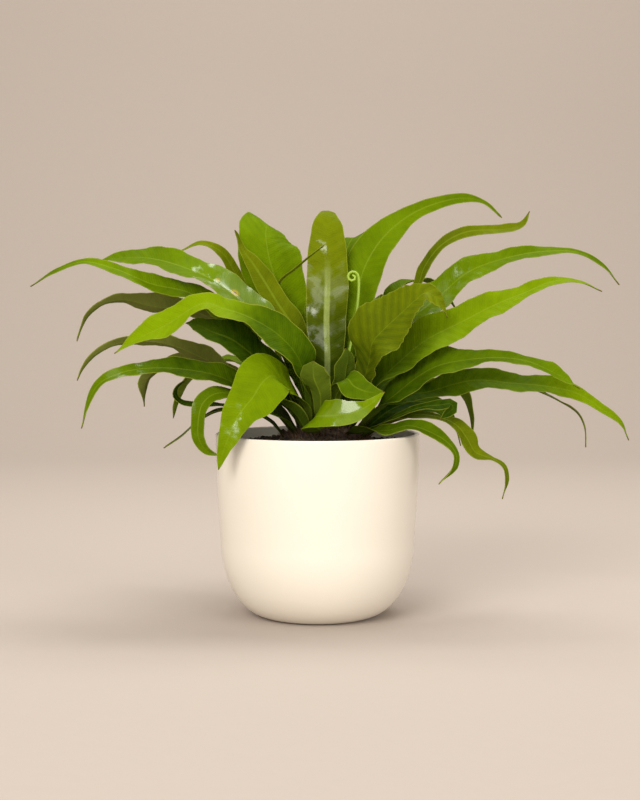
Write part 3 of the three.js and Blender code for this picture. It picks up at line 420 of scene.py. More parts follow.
class Route:
    """The middle line of a frond, with its across and upward directions and its half width."""

    def __init__(self, foot, rows):
        self.foot = foot_point(foot)
        self.facing = -Vector((math.cos(math.radians(foot[1])), math.sin(math.radians(foot[1])), 0))
        start = self.foot + Vector((0, 0, STALK_RISE))
        points = [start] + [Vector(row[:3]) for row in rows]
        widths = [STALK_HALF_WIDTH] + [row[3] for row in rows]
        rolls = [0] + [row[4] for row in rows]
        self.samples = []
        upward, distance = self.facing, 0.0
        for step in range(ROUTE_SAMPLES + 1):
            t = step / ROUTE_SAMPLES
            place = curve_point(points, t)
            ahead = curve_point(points, min(t + ROUTE_NUDGE, 1))
            direction = (ahead - curve_point(points, max(t - ROUTE_NUDGE, 0))).normalized()
            upward = (upward - direction * upward.dot(direction)).normalized()
            if self.samples:
                distance += (place - self.samples[-1][0]).length
            roll = math.radians(smooth_value(rolls, t))
            up = upward * math.cos(roll) + direction.cross(upward) * math.sin(roll)
            self.samples.append((place, up, direction.cross(up), smooth_value(widths, t), distance))
        self.length = distance
        self.widest = max(widths)

    def at(self, distance):
        """Place, up, across and half width at a distance. Below 0 is the stalk in its hole."""
        if distance <= 0:
            place = self.samples[0][0] + Vector((0, 0, distance))
            return place, self.facing, Vector((0, 0, 1)).cross(self.facing), STALK_HALF_WIDTH
        index = 1
        while index < ROUTE_SAMPLES and self.samples[index][4] < distance:
            index += 1
        low, high = self.samples[index - 1], self.samples[index]
        share = (distance - low[4]) / (high[4] - low[4])
        place, up, across = (low[i].lerp(high[i], share) for i in range(3))
        return place, up.normalized(), across.normalized(), low[3] + (high[3] - low[3]) * share


# Shader sockets and materials

class Signal:
    """A shader socket that takes part in plain arithmetic."""

    def __init__(self, finish, socket):
        self.finish = finish
        self.socket = socket

    def __add__(self, other):
        return self.finish.maths("ADD", self, other)

    def __radd__(self, other):
        return self.finish.maths("ADD", other, self)

    def __sub__(self, other):
        return self.finish.maths("SUBTRACT", self, other)

    def __rsub__(self, other):
        return self.finish.maths("SUBTRACT", other, self)

    def __mul__(self, other):
        return self.finish.maths("MULTIPLY", self, other)

    def __rmul__(self, other):
        return self.finish.maths("MULTIPLY", other, self)

    def __truediv__(self, other):
        return self.finish.maths("DIVIDE", self, other)

    def __rtruediv__(self, other):
        return self.finish.maths("DIVIDE", other, self)

    def __abs__(self):
        return self.finish.maths("ABSOLUTE", self)

    def fraction(self):
        return self.finish.maths("FRACT", self)

    def rises(self, low, high):
        """0 below low, 1 above high, smooth between them."""
        settings = {"interpolation_type": "SMOOTHSTEP", "clamp": True}
        inputs = {"Value": self, "From Min": low, "From Max": high, "To Min": 0.0, "To Max": 1.0}
        return self.finish.add("ShaderNodeMapRange", settings, inputs)

    def falls(self, low, high):
        return 1 - self.rises(low, high)


class Finish:
    """A procedural material for a piece, built node by node."""

    def __init__(self, name):
        self.material = bpy.data.materials.new(name)
        self.material.use_nodes = True
        self.tree = self.material.node_tree
        self.tree.nodes.clear()

    def add(self, kind, settings, inputs, output=0):
        """Adds a node with its settings and the values or links of its sockets."""
        node = self.tree.nodes.new(kind)
        for key, value in settings.items():
            setattr(node, key, value)
        for key, value in inputs.items():
            if isinstance(value, Signal):
                self.tree.links.new(value.socket, node.inputs[key])
            else:
                node.inputs[key].default_value = value
        return Signal(self, node.outputs[output])

    def maths(self, operation, *values):
        return self.add("ShaderNodeMath", {"operation": operation}, dict(enumerate(values)))

    def place(self):
        return self.add("ShaderNodeTexCoord", {}, {}, "Object")

    def split(self, attribute):
        """The three numbers of a piece's own attribute."""
        vector = self.add("ShaderNodeAttribute", {"attribute_name": attribute}, {}, "Vector")
        return [self.add("ShaderNodeSeparateXYZ", {}, {"Vector": vector}, axis) for axis in "XYZ"]

    def noise(self, place, scale, detail=3.0):
        inputs = {"Vector": place, "Scale": scale, "Detail": detail, "Roughness": 0.55}
        return self.add("ShaderNodeTexNoise", {}, inputs)

    def cells(self, place, scale):
        """Distance from the nearest of many scattered points."""
        return self.add("ShaderNodeTexVoronoi", {}, {"Vector": place, "Scale": scale})

    def mix(self, factor, first, second):
        """A colour between two colours."""
        settings = {"data_type": "RGBA", "clamp_factor": True}
        return self.add("ShaderNodeMix", settings, {0: factor, 6: first, 7: second}, 2)

    def bump(self, height, distance, strength=1.0):
        inputs = {"Height": height, "Distance": distance, "Strength": strength}
        return self.add("ShaderNodeBump", {}, inputs, "Normal")

    def surface(self, colour, roughness, normal, others=None):
        """The finished material, with other inputs of its shader by their names."""
        inputs = {"Base Color": colour, "Roughness": roughness, "Normal": normal, **(others or {})}
        shader = self.add("ShaderNodeBsdfPrincipled", {}, inputs)
        output = self.tree.nodes.new("ShaderNodeOutputMaterial")
        self.tree.links.new(shader.socket, output.inputs["Surface"])
        return self.material


def rgb(red, green, blue):
    return (red, green, blue, 1.0)


# Leaf colours: old and young upper faces, and the underside. The old colour is also the dark that painted
# shade takes a leaf to, near the crown and on fronds in shade.
LEAF_COLOURS = {
    "bright": {
        "old": rgb(0.022, 0.052, 0.001),
        "young": rgb(0.155, 0.236, 0.001),
        "under": rgb(0.13, 0.17, 0.014),
    },
    "deep": {
        "old": rgb(0.014, 0.036, 0.001),
        "young": rgb(0.125, 0.2, 0.001),
        "under": rgb(0.1, 0.142, 0.01),
    },
    "olive": {
        "old": rgb(0.017, 0.032, 0.002),
        "young": rgb(0.142, 0.178, 0.002),
        "under": rgb(0.175, 0.195, 0.036),
    },
}
MARGIN_COLOUR = rgb(0.25, 0.28, 0.03)
RIB_COLOUR = rgb(0.19, 0.26, 0.015)
PALE_RIB_COLOUR = rgb(0.4, 0.48, 0.14)
STALK_COLOUR = rgb(0.03, 0.022, 0.008)
DRY_COLOUR = rgb(0.1, 0.045, 0.012)
HALO_COLOUR = rgb(0.34, 0.25, 0.01)
VEIN_SPACING = 2.6
VEIN_SLANT = 0.5
STRIPE_WIDTH = 0.8
CLOUD_SCALE = 17
MOTTLE_SCALE = 75
GRAIN_SCALE = 420
LEAF_RELIEF = 0.0012

# Blemishes on the highest left frond, as (x, y, z, radius)
BLEMISHES = [(-83, 0, 322, 3.2), (-99, 0, 337, 1.8)]


def leaf_finish(kind, is_under):
    """A leaf's face. Its attributes carry gloss, share of the length and a shade value that mixes the
    leaf's age with painted shade, then the place in millimetres across and along it and its half width,
    then the frond's own midrib, pleats and edge. The leaf is also painted lighter and darker along its
    pleats and ridges, a painted shade of the folds."""
    colours = LEAF_COLOURS[kind]
    finish = Finish("leaf_" + kind + ("_under" if is_under else "_upper"))
    gloss, share, tone = finish.split("leaf")
    across, along, half = finish.split("span")
    rib_width, pleat, edge = finish.split("marks")
    place = finish.place()
    cloud = finish.noise(place, CLOUD_SCALE)
    mottle = finish.noise(place, MOTTLE_SCALE)
    grain = finish.noise(place, GRAIN_SCALE, 2.0)
    offset = abs(across)
    slanted = (along - offset * VEIN_SLANT) / VEIN_SPACING + mottle * 0.7
    vein = abs(slanted.fraction() - 0.5) * 2
    # Ridge and fold follow the slanted pleat lines. Below, the leaf is painted lighter and darker along
    # them: painted shade of the pleats and ridges, strongest where a frond's pleat is large.
    ridge_place = (along - offset * PLEAT_SLANT) / PLEAT_LENGTH
    ridge = abs((ridge_place + cloud * 1.5).fraction() - 0.5) * 2
    fold = abs((ridge_place + mottle * 0.25).fraction() - 0.5) * 2
    # The starting brightness mixes the leaf's age with painted shade: it is low near the crown and on
    # fronds in shade, so those parts are painted darker.
    brightness = tone + (cloud - 0.5) * 0.7 + (mottle - 0.5) * 0.4 + (ridge - 0.5) * 0.05
    brightness = brightness - vein.rises(0.6, 1.0) * (mottle * 0.08) + (fold - 0.5) * pleat * 0.26
    if is_under:
        colour = finish.mix(0.3 + brightness * 0.6, colours["old"], colours["under"])
    else:
        colour = finish.mix(brightness, colours["old"], colours["young"])
    stripes = abs((offset / STRIPE_WIDTH).fraction() - 0.5) * 2
    broad = rib_width.rises(2.0, 3.0)
    rib = (offset / rib_width).falls(0.6, 1.1) * (share + broad * 0.35).falls(0.75, 1.0)
    rib = rib * (1 - stripes.rises(0.4, 0.9) * broad * 0.7)
    line_colour = finish.mix(broad, RIB_COLOUR, PALE_RIB_COLOUR)
    colour = finish.mix(rib * (0.15 + tone * 0.35 + broad * 0.35), colour, line_colour)
    margin = (half - offset).falls(0.2, 1.0) * share.rises(0.08, 0.3) * edge
    colour = finish.mix(margin, colour, MARGIN_COLOUR)
    colour = finish.mix(share.falls(0.01, 0.10) * 0.85, colour, STALK_COLOUR)
    colour = finish.mix(share.rises(0.98, 0.995) * 0.6, colour, DRY_COLOUR)
    if kind == "deep" and not is_under:
        for x, y, z, radius in BLEMISHES:
            settings = {"operation": "DISTANCE"}
            centre = (x * MM, y * MM, z * MM)
            gap = finish.add("ShaderNodeVectorMath", settings, {0: place, 1: centre}, "Value")
            ragged = gap / (radius * MM) + (grain - 0.5) * 0.8
            colour = finish.mix(ragged.falls(0.9, 1.9) * 0.8, colour, HALO_COLOUR)
            colour = finish.mix(ragged.falls(0.4, 0.9), colour, DRY_COLOUR)
    relief = vein * 0.12 + grain * 0.08 + mottle * 0.8 + ridge * 0.2
    wax = (gloss + (mottle - 0.5) * 1.4 + (cloud - 0.5) * 0.6).rises(0.6, 0.85)
    roughness = (0.6 if is_under else 0.45) - wax * 0.1 + (mottle - 0.5) * 0.2
    return finish.surface(colour, roughness, finish.bump(relief, LEAF_RELIEF, 0.8), {
        "Specular IOR Level": 0.01,
        "Coat Weight": wax * (0.3 if is_under else 1.0),
        "Coat Roughness": 0.17,
    })


def pot_finish():
    finish = Finish("pot_glaze")
    place = finish.place()
    cloud = finish.noise(place, 9)
    grain = finish.noise(place, 900, 2.0)
    speck = finish.cells(place, 260).falls(0.05, 0.12)
    colour = finish.mix(cloud, rgb(0.712, 0.648, 0.552), rgb(0.768, 0.71, 0.616))
    colour = finish.mix(speck * 0.25, colour, rgb(0.62, 0.52, 0.4))
    relief = finish.bump(grain * 0.5 + cloud * 0.8, 0.0002, 0.5)
    return finish.surface(colour, 0.46 + (grain - 0.5) * 0.12, relief)


def soil_finish():
    finish = Finish("potting_soil")
    place = finish.place()
    lumps = finish.noise(place, 130, 5.0)
    crumbs = finish.cells(place, 420)
    colour = finish.mix(lumps.rises(0.35, 0.7), rgb(0.012, 0.008, 0.005), rgb(0.075, 0.045, 0.026))
    colour = finish.mix(crumbs.falls(0.1, 0.3) * 0.4, colour, rgb(0.13, 0.085, 0.05))
    return finish.surface(colour, 0.95 - lumps * 0.1, finish.bump(lumps + crumbs, 0.0018))


def perlite_finish():
    finish = Finish("perlite")
    pits = finish.noise(finish.place(), 900, 4.0)
    colour = finish.mix(pits, rgb(0.36, 0.32, 0.26), rgb(0.74, 0.7, 0.62))
    return finish.surface(colour, 0.9 - pits * 0.1, finish.bump(pits, 0.0004))


def crown_finish():
    finish = Finish("fibrous_crown")
    place = finish.place()
    fibres = finish.noise(place, 300, 4.0)
    patches = finish.noise(place, 60)
    colour = finish.mix(fibres.rises(0.35, 0.65), rgb(0.01, 0.006, 0.004), rgb(0.07, 0.038, 0.018))
    colour = finish.mix(patches.rises(0.55, 0.75) * 0.4, colour, rgb(0.1, 0.075, 0.025))
    return finish.surface(colour, 0.85 + (fibres - 0.5) * 0.2, finish.bump(fibres, 0.0015))


def hair_finish():
    finish = Finish("crown_hairs")
    shades = finish.noise(finish.place(), 180, 2.0)
    colour = finish.mix(shades, rgb(0.018, 0.01, 0.005), rgb(0.16, 0.085, 0.035))
    return finish.surface(colour, 0.6 + shades * 0.2, finish.bump(shades, 0.0002))


def crozier_finish():
    finish = Finish("young_frond")
    share = finish.split("leaf")[1]
    down = finish.noise(finish.place(), 700, 3.0)
    colour = finish.mix(share, rgb(0.14, 0.24, 0.012), rgb(0.3, 0.44, 0.03))
    colour = finish.mix(down.rises(0.55, 0.7) * 0.5, colour, rgb(0.42, 0.36, 0.12))
    colour = finish.mix(share.falls(0.01, 0.10) * 0.8, colour, STALK_COLOUR)
    return finish.surface(colour, 0.42 + down * 0.2, finish.bump(down, 0.0003))


def backdrop_finish():
    finish = Finish("studio_paper")
    tooth = finish.noise(finish.place(), 60, 4.0)
    colour = finish.mix(tooth, rgb(0.452, 0.387, 0.337), rgb(0.466, 0.4, 0.347))
    return finish.surface(colour, 0.85 + tooth * 0.1, finish.bump(tooth, 0.0003))


# Pieces

def place_in_scene(name, data):
    """A new object for a mesh, a light or a camera."""
    item = bpy.data.objects.new(name, data)
    bpy.context.scene.collection.objects.link(item)
    return item


def show(name, mesh, finishes, slot=None, stands_for=()):
    """Turns a bmesh into a named object that belongs to the plant, or to the stage."""
    data = bpy.data.meshes.new(name)
    mesh.to_mesh(data)
    mesh.free()
    for finish in finishes:
        data.materials.append(finish)
    piece = place_in_scene(name, data)
    if slot:
        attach(piece, "root")
        if stands_for:
            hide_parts(*stands_for)
    return piece


def rounded(left, length):
    """Half width of a round end of half width 1, at a distance from the end."""
    return math.sqrt(max(0.04, 1 - (1 - min(left / length, 1)) ** 2))


def blade_row(route, form, distance):
    """What a blade is like at a distance along its route."""
    place, up, across, half = route.at(distance)
    turned = smooth_step(0, UPRIGHT_LENGTH, distance)
    past = smooth_step(0, STALK_SHARE, distance / route.length)
    blade = form["blade"] * past
    left = route.length - distance
    half *= rounded(left, TIP_LENGTH)
    if left < TIP_REACH * form["tip"]:
        half = max(half, form["tip"] * rounded(left, form["tip"] * TIP_STRETCH))
    return {
        "place": place,
        "up": route.facing.lerp(up, turned).normalized() if distance > 0 else up,
        "across": across,
        "half": half,
        "distance": distance,
        "share": max(distance, 0) / route.length,
        "blade": blade,
        "stalk": 1 - blade - form["slimming"] * past,
    }


def blade_point(row, form, v, side):
    """A point of a blade: v runs across from -1 to 1, side is 1 on the upper face, -1 below."""
    hand = 1 if v > 0 else 0
    reach = abs(v)
    wander_place = (row["distance"] * EDGE_WANDER_PACE, hand * EDGE_WANDER_SHIFT, form["phase"])
    wander = noise.noise(Vector(wander_place))
    half = row["half"] * (1 + EDGE_WANDER * wander * row["blade"])
    slope = math.radians(form["fold"]) * row["blade"]
    fullness = row["blade"] * min(1, half / WAVE_FULL_HALF_WIDTH)
    turn = 2 * math.pi * row["distance"] / WAVE_LENGTH + form["phase"] + hand * WAVE_EDGE_SHIFT
    ripple = 2 * math.pi * row["distance"] / RIPPLE_LENGTH + 2 * form["phase"] + hand * 2
    pleat = 2 * math.pi * (row["distance"] - PLEAT_SLANT * half * reach) / PLEAT_LENGTH
    lift = half * (math.hypot(v, FOLD_ROUNDING) - FOLD_ROUNDING) * math.sin(slope)
    lift += fullness * WAVE_HEIGHT * reach ** WAVE_FADE * math.sin(turn)
    lift += fullness * RIPPLE_HEIGHT * reach ** 3 * math.sin(ripple)
    lift += fullness * (form["pleat"] or PLEAT_HEIGHT) * reach ** 0.5 * math.sin(pleat)
    lens = 1 - v * v
    bulge = lens * row["blade"] + math.sqrt(max(lens, 0)) * (1 - row["blade"])
    middle = BLADE_THICKNESS + (STALK_THICKNESS - BLADE_THICKNESS) * row["stalk"]
    thick = (BLADE_EDGE + (middle - BLADE_EDGE) * bulge) / 2
    rib = (RIB_ABOVE if side > 0 else RIB_BELOW) * row["blade"] * (1 - row["share"])
    thick += rib * math.exp(-((half * v / RIB_WIDTH) ** 2))
    centre = row["place"] + row["across"] * (half * v * math.cos(slope))
    return (centre + row["up"] * (lift + side * thick)) * MM


def blade_mesh(form):
    """A thin closed blade: a grid is laid along the route and its copy becomes the upper face."""
    route = Route(form["foot"], form["route"])
    columns = WIDE_COLUMNS if route.widest > WIDE_BLADE else NARROW_COLUMNS
    buried = STALK_DEPTH + STALK_RISE
    total = buried + route.length
    row_count = round(total / ROW_LENGTH)
    rows = [blade_row(route, form, total * i / row_count - buried) for i in range(row_count + 1)]
    mesh = bmesh.new()
    layers = mesh.verts.layers.float_vector
    leaf, span, marks = [layers.new(name) for name in ("leaf", "span", "marks")]
    bmesh.ops.create_grid(mesh, x_segments=columns, y_segments=row_count, size=1)
    lower = mesh.faces[:]
    grown = bmesh.ops.extrude_face_region(mesh, geom=lower, use_keep_orig=True)["geom"]
    upper = {item for item in grown if isinstance(item, bmesh.types.BMFace)}
    raised = {item for item in grown if isinstance(item, bmesh.types.BMVert)}
    faces = upper.union(lower)
    for face in mesh.faces:
        face.smooth = True
        face.material_index = 0 if face in upper or face not in faces else 1
    for edge in mesh.edges:
        edge.smooth = all(face in faces for face in edge.link_faces)
    for vert in mesh.verts:
        v = math.copysign(abs(vert.co.x) ** COLUMN_CROWDING, vert.co.x)
        row = rows[round((vert.co.y + 1) / 2 * row_count)]
        vert.co = blade_point(row, form, v, 1 if vert in raised else -1)
        share = row["share"]
        vert[leaf] = (smooth_value(form["gloss"], share), share, smooth_value(form["tone"], share))
        vert[span] = (row["half"] * v, row["distance"], row["half"])
        vert[marks] = (form["rib"], form["pleat"], form["edge"])
    bmesh.ops.recalc_face_normals(mesh, faces=mesh.faces)
    return mesh


def spun(profile, steps):
    """A closed shell turned round +Z from a profile of (radius, height) that ends on the axis."""
    mesh = bmesh.new()
    verts = [mesh.verts.new((radius * MM, 0, height * MM)) for radius, height in profile]
    edges = [mesh.edges.new(pair) for pair in zip(verts, verts[1:])]
    bmesh.ops.spin(mesh, geom=verts + edges, cent=(0, 0, 0), axis=(0, 0, 1), angle=2 * math.pi,
                   steps=steps, use_merge=True, use_duplicate=False)
    bmesh.ops.remove_doubles(mesh, verts=mesh.verts, dist=0.01 * MM)
    bmesh.ops.recalc_face_normals(mesh, faces=mesh.faces)
    for face in mesh.faces:
        face.smooth = True
    return mesh


def arc(centre, radius, start, end, steps):
    """Points of an arc between two angles in degrees."""
    angles = [math.radians(start + (end - start) * step / steps) for step in range(steps + 1)]
    return [(centre[0] + radius[0] * math.cos(a), centre[1] + radius[1] * math.sin(a)) for a in angles]


def wall_points():
    """The outer wall of the pot from the edge of its base to the start of its rim."""
    corner_size = (POT_SHOULDER_RADIUS - POT_BASE_RADIUS, POT_SHOULDER_HEIGHT)
    points = arc((POT_BASE_RADIUS, POT_SHOULDER_HEIGHT), corner_size, -90, 0, CORNER_STEPS)
    rise = POT_HEIGHT - RIM_ROUND - POT_SHOULDER_HEIGHT
    for step in range(1, WALL_STEPS + 1):
        share = step / WALL_STEPS
        radius = POT_SHOULDER_RADIUS + (POT_RADIUS - POT_SHOULDER_RADIUS) * math.sin(math.pi / 2 * share)
        points.append((radius, POT_SHOULDER_HEIGHT + rise * share))
    return points


def inner_points(bottom, top, gap):
    """The pot's inner wall, or what fills it with a gap, from one height to another."""
    inside = [(radius - POT_WALL - gap, height) for radius, height in wall_points()]
    return [point for point in inside if bottom <= point[1] <= top]


def make_pot(finish):
    rim_height = POT_HEIGHT - RIM_ROUND
    size = (RIM_ROUND, RIM_ROUND)
    rim = arc((POT_RADIUS - RIM_ROUND, rim_height), size, 0, 90, RIM_STEPS)[1:]
    rim += arc((POT_RADIUS - POT_WALL + RIM_ROUND, rim_height), size, 90, 180, RIM_STEPS)
    inside = list(reversed(inner_points(POT_FLOOR, rim_height, 0)))
    mesh = spun([(0, 0)] + wall_points() + rim + inside[1:] + [(0, POT_FLOOR)], POT_STEPS)
    show("pot_shell", mesh, [finish], "pot", ["pot"])


def soil_height(x, y):
    """The lumpy top of the soil, which dips under the crown."""
    radius = math.hypot(x, y)
    edge = inner_points(0, SOIL_TOP, SOIL_GAP)[-1][0]
    lumps = noise.fractal(Vector((x, y, 0)) * SOIL_NOISE, 0.8, 2.0, 4)
    height = SOIL_TOP + SOIL_MOUND * (1 - radius / edge)
    height += SOIL_ROUGHNESS * lumps * smooth_step(edge, edge - SOIL_SMOOTH_EDGE, radius)
    sunk = smooth_step(CROWN_RADIUS, CROWN_RADIUS - SOIL_SINK_EDGE, math.hypot(x - CROWN_X, y))
    return height - SOIL_SINK * sunk


def make_soil(finish):
    side = inner_points(POT_FLOOR + SOIL_GAP, SOIL_TOP, SOIL_GAP)
    edge = side[-1][0]
    rings = [(edge * (1 - step / SOIL_RINGS), SOIL_TOP + 1) for step in range(SOIL_RINGS + 1)]
    bottom = (side[0][0], POT_FLOOR + SOIL_GAP)
    mesh = spun([(0, bottom[1]), bottom] + side + rings, SOIL_STEPS)
    for vert in mesh.verts:
        x, y, z = vert.co / MM
        if z > SOIL_TOP + 0.5:
            vert.co.z = soil_height(x, y) * MM
    show("soil_bed", mesh, [finish], "soil", ["soil"])


def scatter(count, inner, outer, seed):
    """Seeded places (x, y) on the soil, outside the crown and inside the pot."""
    chance = random.Random(seed)
    places = []
    while len(places) < count:
        x, y = chance.uniform(-outer, outer), chance.uniform(-outer, outer)
        if math.hypot(x, y) < outer and math.hypot(x - CROWN_X, y) > inner:
            places.append((x, y, chance))
    return places


def make_crumbs(name, finish, count, sizes, seed):
    mesh = bmesh.new()
    for x, y, chance in scatter(count, CROWN_RADIUS - 2, CRUMB_REACH, seed):
        size = chance.uniform(*sizes)
        stretch = Matrix.Diagonal((chance.uniform(0.7, 1.3), chance.uniform(0.7, 1.3), 0.7, 1))
        turn = Matrix.Rotation(chance.uniform(0, math.pi), 4, "Z")
        turn = turn @ Matrix.Rotation(chance.random(), 4, "X")
        place = Matrix.Translation(Vector((x, y, soil_height(x, y) + size * 0.25)) * MM)
        bmesh.ops.create_icosphere(mesh, subdivisions=1, radius=size * MM, matrix=place @ turn @ stretch)
    for vert in mesh.verts:
        vert.co += noise.noise_vector(vert.co * CRUMB_NOISE) * sizes[0] * CRUMB_ROUGHNESS * MM
    show(name, mesh, [finish], "soil")


def make_crown(finish):
    radii = [CROWN_RADIUS * (1 - step / CROWN_RINGS) for step in range(CROWN_RINGS + 1)]
    rings = [(radius, crown_height(radius)) for radius in radii]
    base = [(0, CROWN_BOTTOM), (CROWN_RADIUS - CROWN_CORNER, CROWN_BOTTOM)]
    side = [(CROWN_RADIUS, CROWN_BOTTOM + CROWN_CORNER), (CROWN_RADIUS, SOIL_TOP)]
    mesh = spun(base + side + rings, CROWN_STEPS)
    for vert in mesh.verts:
        if vert.co.z > (SOIL_TOP - 1) * MM:
            rough = noise.fractal(vert.co * CROWN_NOISE, 0.7, 2.1, 5)
            vert.co.z += min(rough, 0.6) * CROWN_ROUGHNESS * MM
        vert.co.x += CROWN_X * MM
    show("crown_dome", mesh, [finish], "crown", ["crown"])


def add_spike(mesh, foot, lean, length, sunk, sides, bottom, top):
    """A hair or a stump: a slim cone that leans out of the crown, with its start sunk in."""
    middle = foot + lean.normalized() * (length / 2 - sunk)
    place = Matrix.Translation(middle * MM) @ lean.to_track_quat("Z", "Y").to_matrix().to_4x4()
    bmesh.ops.create_cone(mesh, cap_ends=True, segments=sides, radius1=bottom * MM, radius2=top * MM,
                          depth=length * MM, matrix=place)


def make_hairs(finish, feet):
    """Fine dry scales round the foot of every stalk and over the crown."""
    chance = random.Random(11)
    mesh = bmesh.new()
    for index in range(HAIR_COUNT):
        radius = CROWN_RADIUS * math.sqrt(chance.random()) * 0.98
        angle = chance.uniform(0, 2 * math.pi)
        if index % 2:
            stalk = feet[index % len(feet)]
            x = stalk.x + chance.gauss(0, HAIR_SPREAD)
            y = stalk.y + chance.gauss(0, HAIR_SPREAD)
            radius = math.hypot(x - CROWN_X, y)
        else:
            x, y = crown_place(radius, angle)
        if radius > CROWN_RADIUS - 1:
            continue
        length = chance.uniform(*HAIR_LENGTHS)
        lean = Vector((x - CROWN_X, y, 0)) / CROWN_RADIUS
        lean += Vector((chance.gauss(0, 0.5), chance.gauss(0, 0.5), 1.2))
        foot = Vector((x, y, crown_height(radius)))
        bottom = chance.uniform(*HAIR_RADII)
        add_spike(mesh, foot, lean, length, HAIR_SUNK, HAIR_SIDES, bottom, HAIR_TIP_RADIUS)
    show("crown_hairs", mesh, [finish], "crown")


def make_stumps(finish):
    """Stumps of old stalks between the living ones."""
    chance = random.Random(5)
    mesh = bmesh.new()
    for index in range(STUMP_COUNT):
        angle = index * STUMP_TURN
        radius = CROWN_RADIUS * math.sqrt((index + 0.5) / STUMP_COUNT) * 0.95
        x, y = crown_place(radius, angle)
        lean = Vector(((x - CROWN_X) / CROWN_RADIUS, y / CROWN_RADIUS, 1.4))
        length = chance.uniform(*STUMP_LENGTHS)
        foot = Vector((x, y, crown_height(radius) - 1))
        top = chance.uniform(*STUMP_TOP_RADII)
        add_spike(mesh, foot, lean, length, STUMP_SUNK, STUMP_SIDES, STUMP_RADIUS, top)
    for vert in mesh.verts:
        vert.co += noise.noise_vector(vert.co * STUMP_NOISE) * STUMP_ROUGHNESS * MM
    show("crown_stubs", mesh, [finish], "crown")


def make_fronds(finishes):
    for index, row in enumerate(FRONDS):
        name = row["name"]
        mesh = blade_mesh({**row, "phase": index * WAVE_FROND_SHIFT})
        show(name + "_blade", mesh, finishes[row["finish"]], "frond_" + row["leaf"], [name])


def crozier_rows():
    """The crozier's route: up its stalk, then inward round a spiral."""
    x, y, z = CROZIER_CENTRE
    rows = list(CROZIER_STALK)
    for point in range(CROZIER_POINTS + 1):
        share = point / CROZIER_POINTS
        angle = 2 * math.pi * CROZIER_TURNS * share
        radius = CROZIER_RADIUS * (1 - CROZIER_CLOSING * share)
        rows.append((x + radius * math.cos(angle), y, z + radius * math.sin(angle), CROZIER_HALF_WIDTH, 0))
    return rows


def make_crozier(finish):
    form = frond("crozier", "bright", CROZIER_FOOT, fold=0, tip=0.5, edge=0, tone=(0.6, 0.9),
                 blade=0, slimming=CROZIER_SLIMMING, route=crozier_rows())
    show("crozier_coil", blade_mesh(form), [finish, finish], "frond_bright", ["crozier"])


# Stage, light and camera

CAMERA_PLACE = (2.5, -1500, 301)
CAMERA_AIM = (2.5, 0, 216)
FOCAL_LENGTH = 67.5
BACKDROP_WIDTH = 8000
BACKDROP_FRONT = -2600
BACKDROP_BACK = 3600
BACKDROP_BEND = 2000
BACKDROP_HEIGHT = 4200
BEND_STEPS = 32

# Softboxes, as (role, place, target, size, power, colour)
SOFTBOXES = [
    ("key", (-1350, -2925, 1910), (0, 0, 230), (1950, 1950), 110, (1.0, 0.97, 0.92)),
    ("top", (300, 500, 1900), (0, 0, 280), (1400, 900), 26, (1.0, 0.99, 0.96)),
    ("fill", (2550, -2250, 850), (0, 0, 180), (1800, 1800), 42, (1.0, 0.97, 0.93)),
    ("low", (-200, -2300, 350), (0, 0, 60), (1800, 500), 7, (1.0, 0.97, 0.92)),
    ("wall", (0, 1700, 3000), (0, 3500, 900), (3400, 700), 34, (1.0, 0.97, 0.93)),
]
DAYLIGHT_COLOUR = rgb(1.0, 0.96, 0.9)
DAYLIGHT_STRENGTH = 0.55


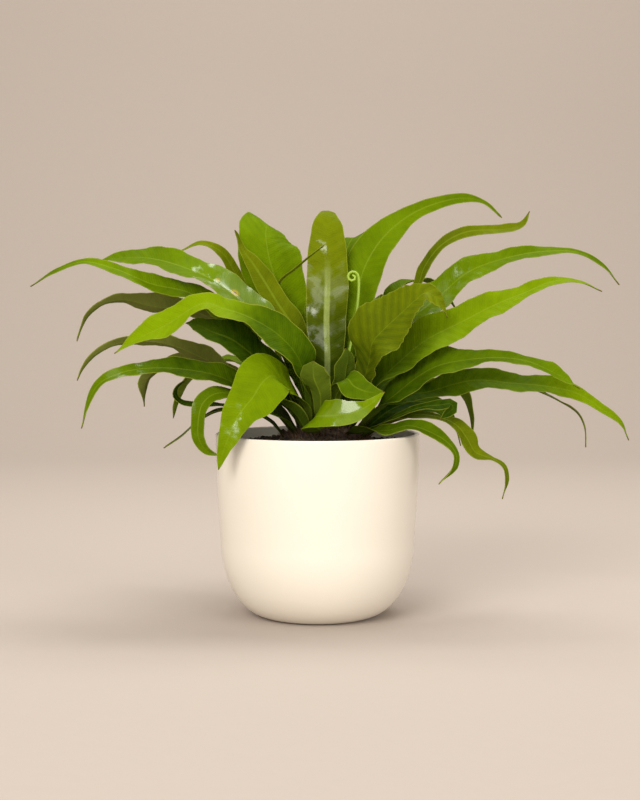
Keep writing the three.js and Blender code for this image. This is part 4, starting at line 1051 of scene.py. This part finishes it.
def make_backdrop(finish):
    """A pale floor that sweeps up into a wall far behind the plant."""
    centre = (BACKDROP_BACK - BACKDROP_BEND, BACKDROP_BEND)
    bend = arc(centre, (BACKDROP_BEND, BACKDROP_BEND), -90, 0, BEND_STEPS)
    profile = [(BACKDROP_FRONT, 0)] + bend + [(BACKDROP_BACK, BACKDROP_HEIGHT)]
    mesh = bmesh.new()
    left = -BACKDROP_WIDTH / 2
    verts = [mesh.verts.new(Vector((left, y, z)) * MM) for y, z in profile]
    edges = [mesh.edges.new(pair) for pair in zip(verts, verts[1:])]
    grown = bmesh.ops.extrude_edge_only(mesh, edges=edges)["geom"]
    moved = [item for item in grown if isinstance(item, bmesh.types.BMVert)]
    bmesh.ops.translate(mesh, verts=moved, vec=(BACKDROP_WIDTH * MM, 0, 0))
    bmesh.ops.recalc_face_normals(mesh, faces=mesh.faces)
    mesh.faces.ensure_lookup_table()
    if mesh.faces[0].normal.z < 0:
        bmesh.ops.reverse_faces(mesh, faces=mesh.faces)
    for face in mesh.faces:
        face.smooth = True
    show("backdrop", mesh, [finish])


def aim(item, place, target):
    item.location = Vector(place) * MM
    direction = Vector(target) - Vector(place)
    item.rotation_euler = direction.to_track_quat("-Z", "Y").to_euler()


def add_softbox(role, place, target, size, power, colour):
    light = bpy.data.lights.new(role + "_softbox", "AREA")
    light.shape = "RECTANGLE"
    light.size, light.size_y = size[0] * MM, size[1] * MM
    light.energy = power
    light.color = colour
    item = place_in_scene(light.name, light)
    item.visible_camera = False
    aim(item, place, target)


def add_camera():
    camera = bpy.data.cameras.new("photo_view")
    camera.lens = FOCAL_LENGTH
    camera.clip_start, camera.clip_end = 0.05, 30
    item = place_in_scene("photo_view", camera)
    aim(item, CAMERA_PLACE, CAMERA_AIM)
    bpy.context.scene.camera = item


def add_daylight():
    world = bpy.data.worlds.new("soft_daylight")
    world.use_nodes = True
    background = world.node_tree.nodes["Background"]
    background.inputs["Color"].default_value = DAYLIGHT_COLOUR
    background.inputs["Strength"].default_value = DAYLIGHT_STRENGTH
    bpy.context.scene.world = world


add_camera()
add_daylight()
for softbox in SOFTBOXES:
    add_softbox(*softbox)
bpy.context.scene.view_settings.view_transform = "Standard"

leaf_finishes = {kind: [leaf_finish(kind, False), leaf_finish(kind, True)] for kind in LEAF_COLOURS}
make_pot(pot_finish())
soil = soil_finish()
make_soil(soil)
make_crumbs("soil_crumbs", soil, CRUMB_COUNT, CRUMB_SIZES, seed=3)
make_crumbs("perlite_specks", perlite_finish(), PERLITE_COUNT, PERLITE_SIZES, seed=8)
crown = crown_finish()
make_crown(crown)
make_stumps(crown)
feet = [foot_point(row["foot"]) for row in FRONDS] + [foot_point(CROZIER_FOOT)]
make_hairs(hair_finish(), feet)
make_fronds(leaf_finishes)
make_crozier(crozier_finish())
make_backdrop(backdrop_finish())
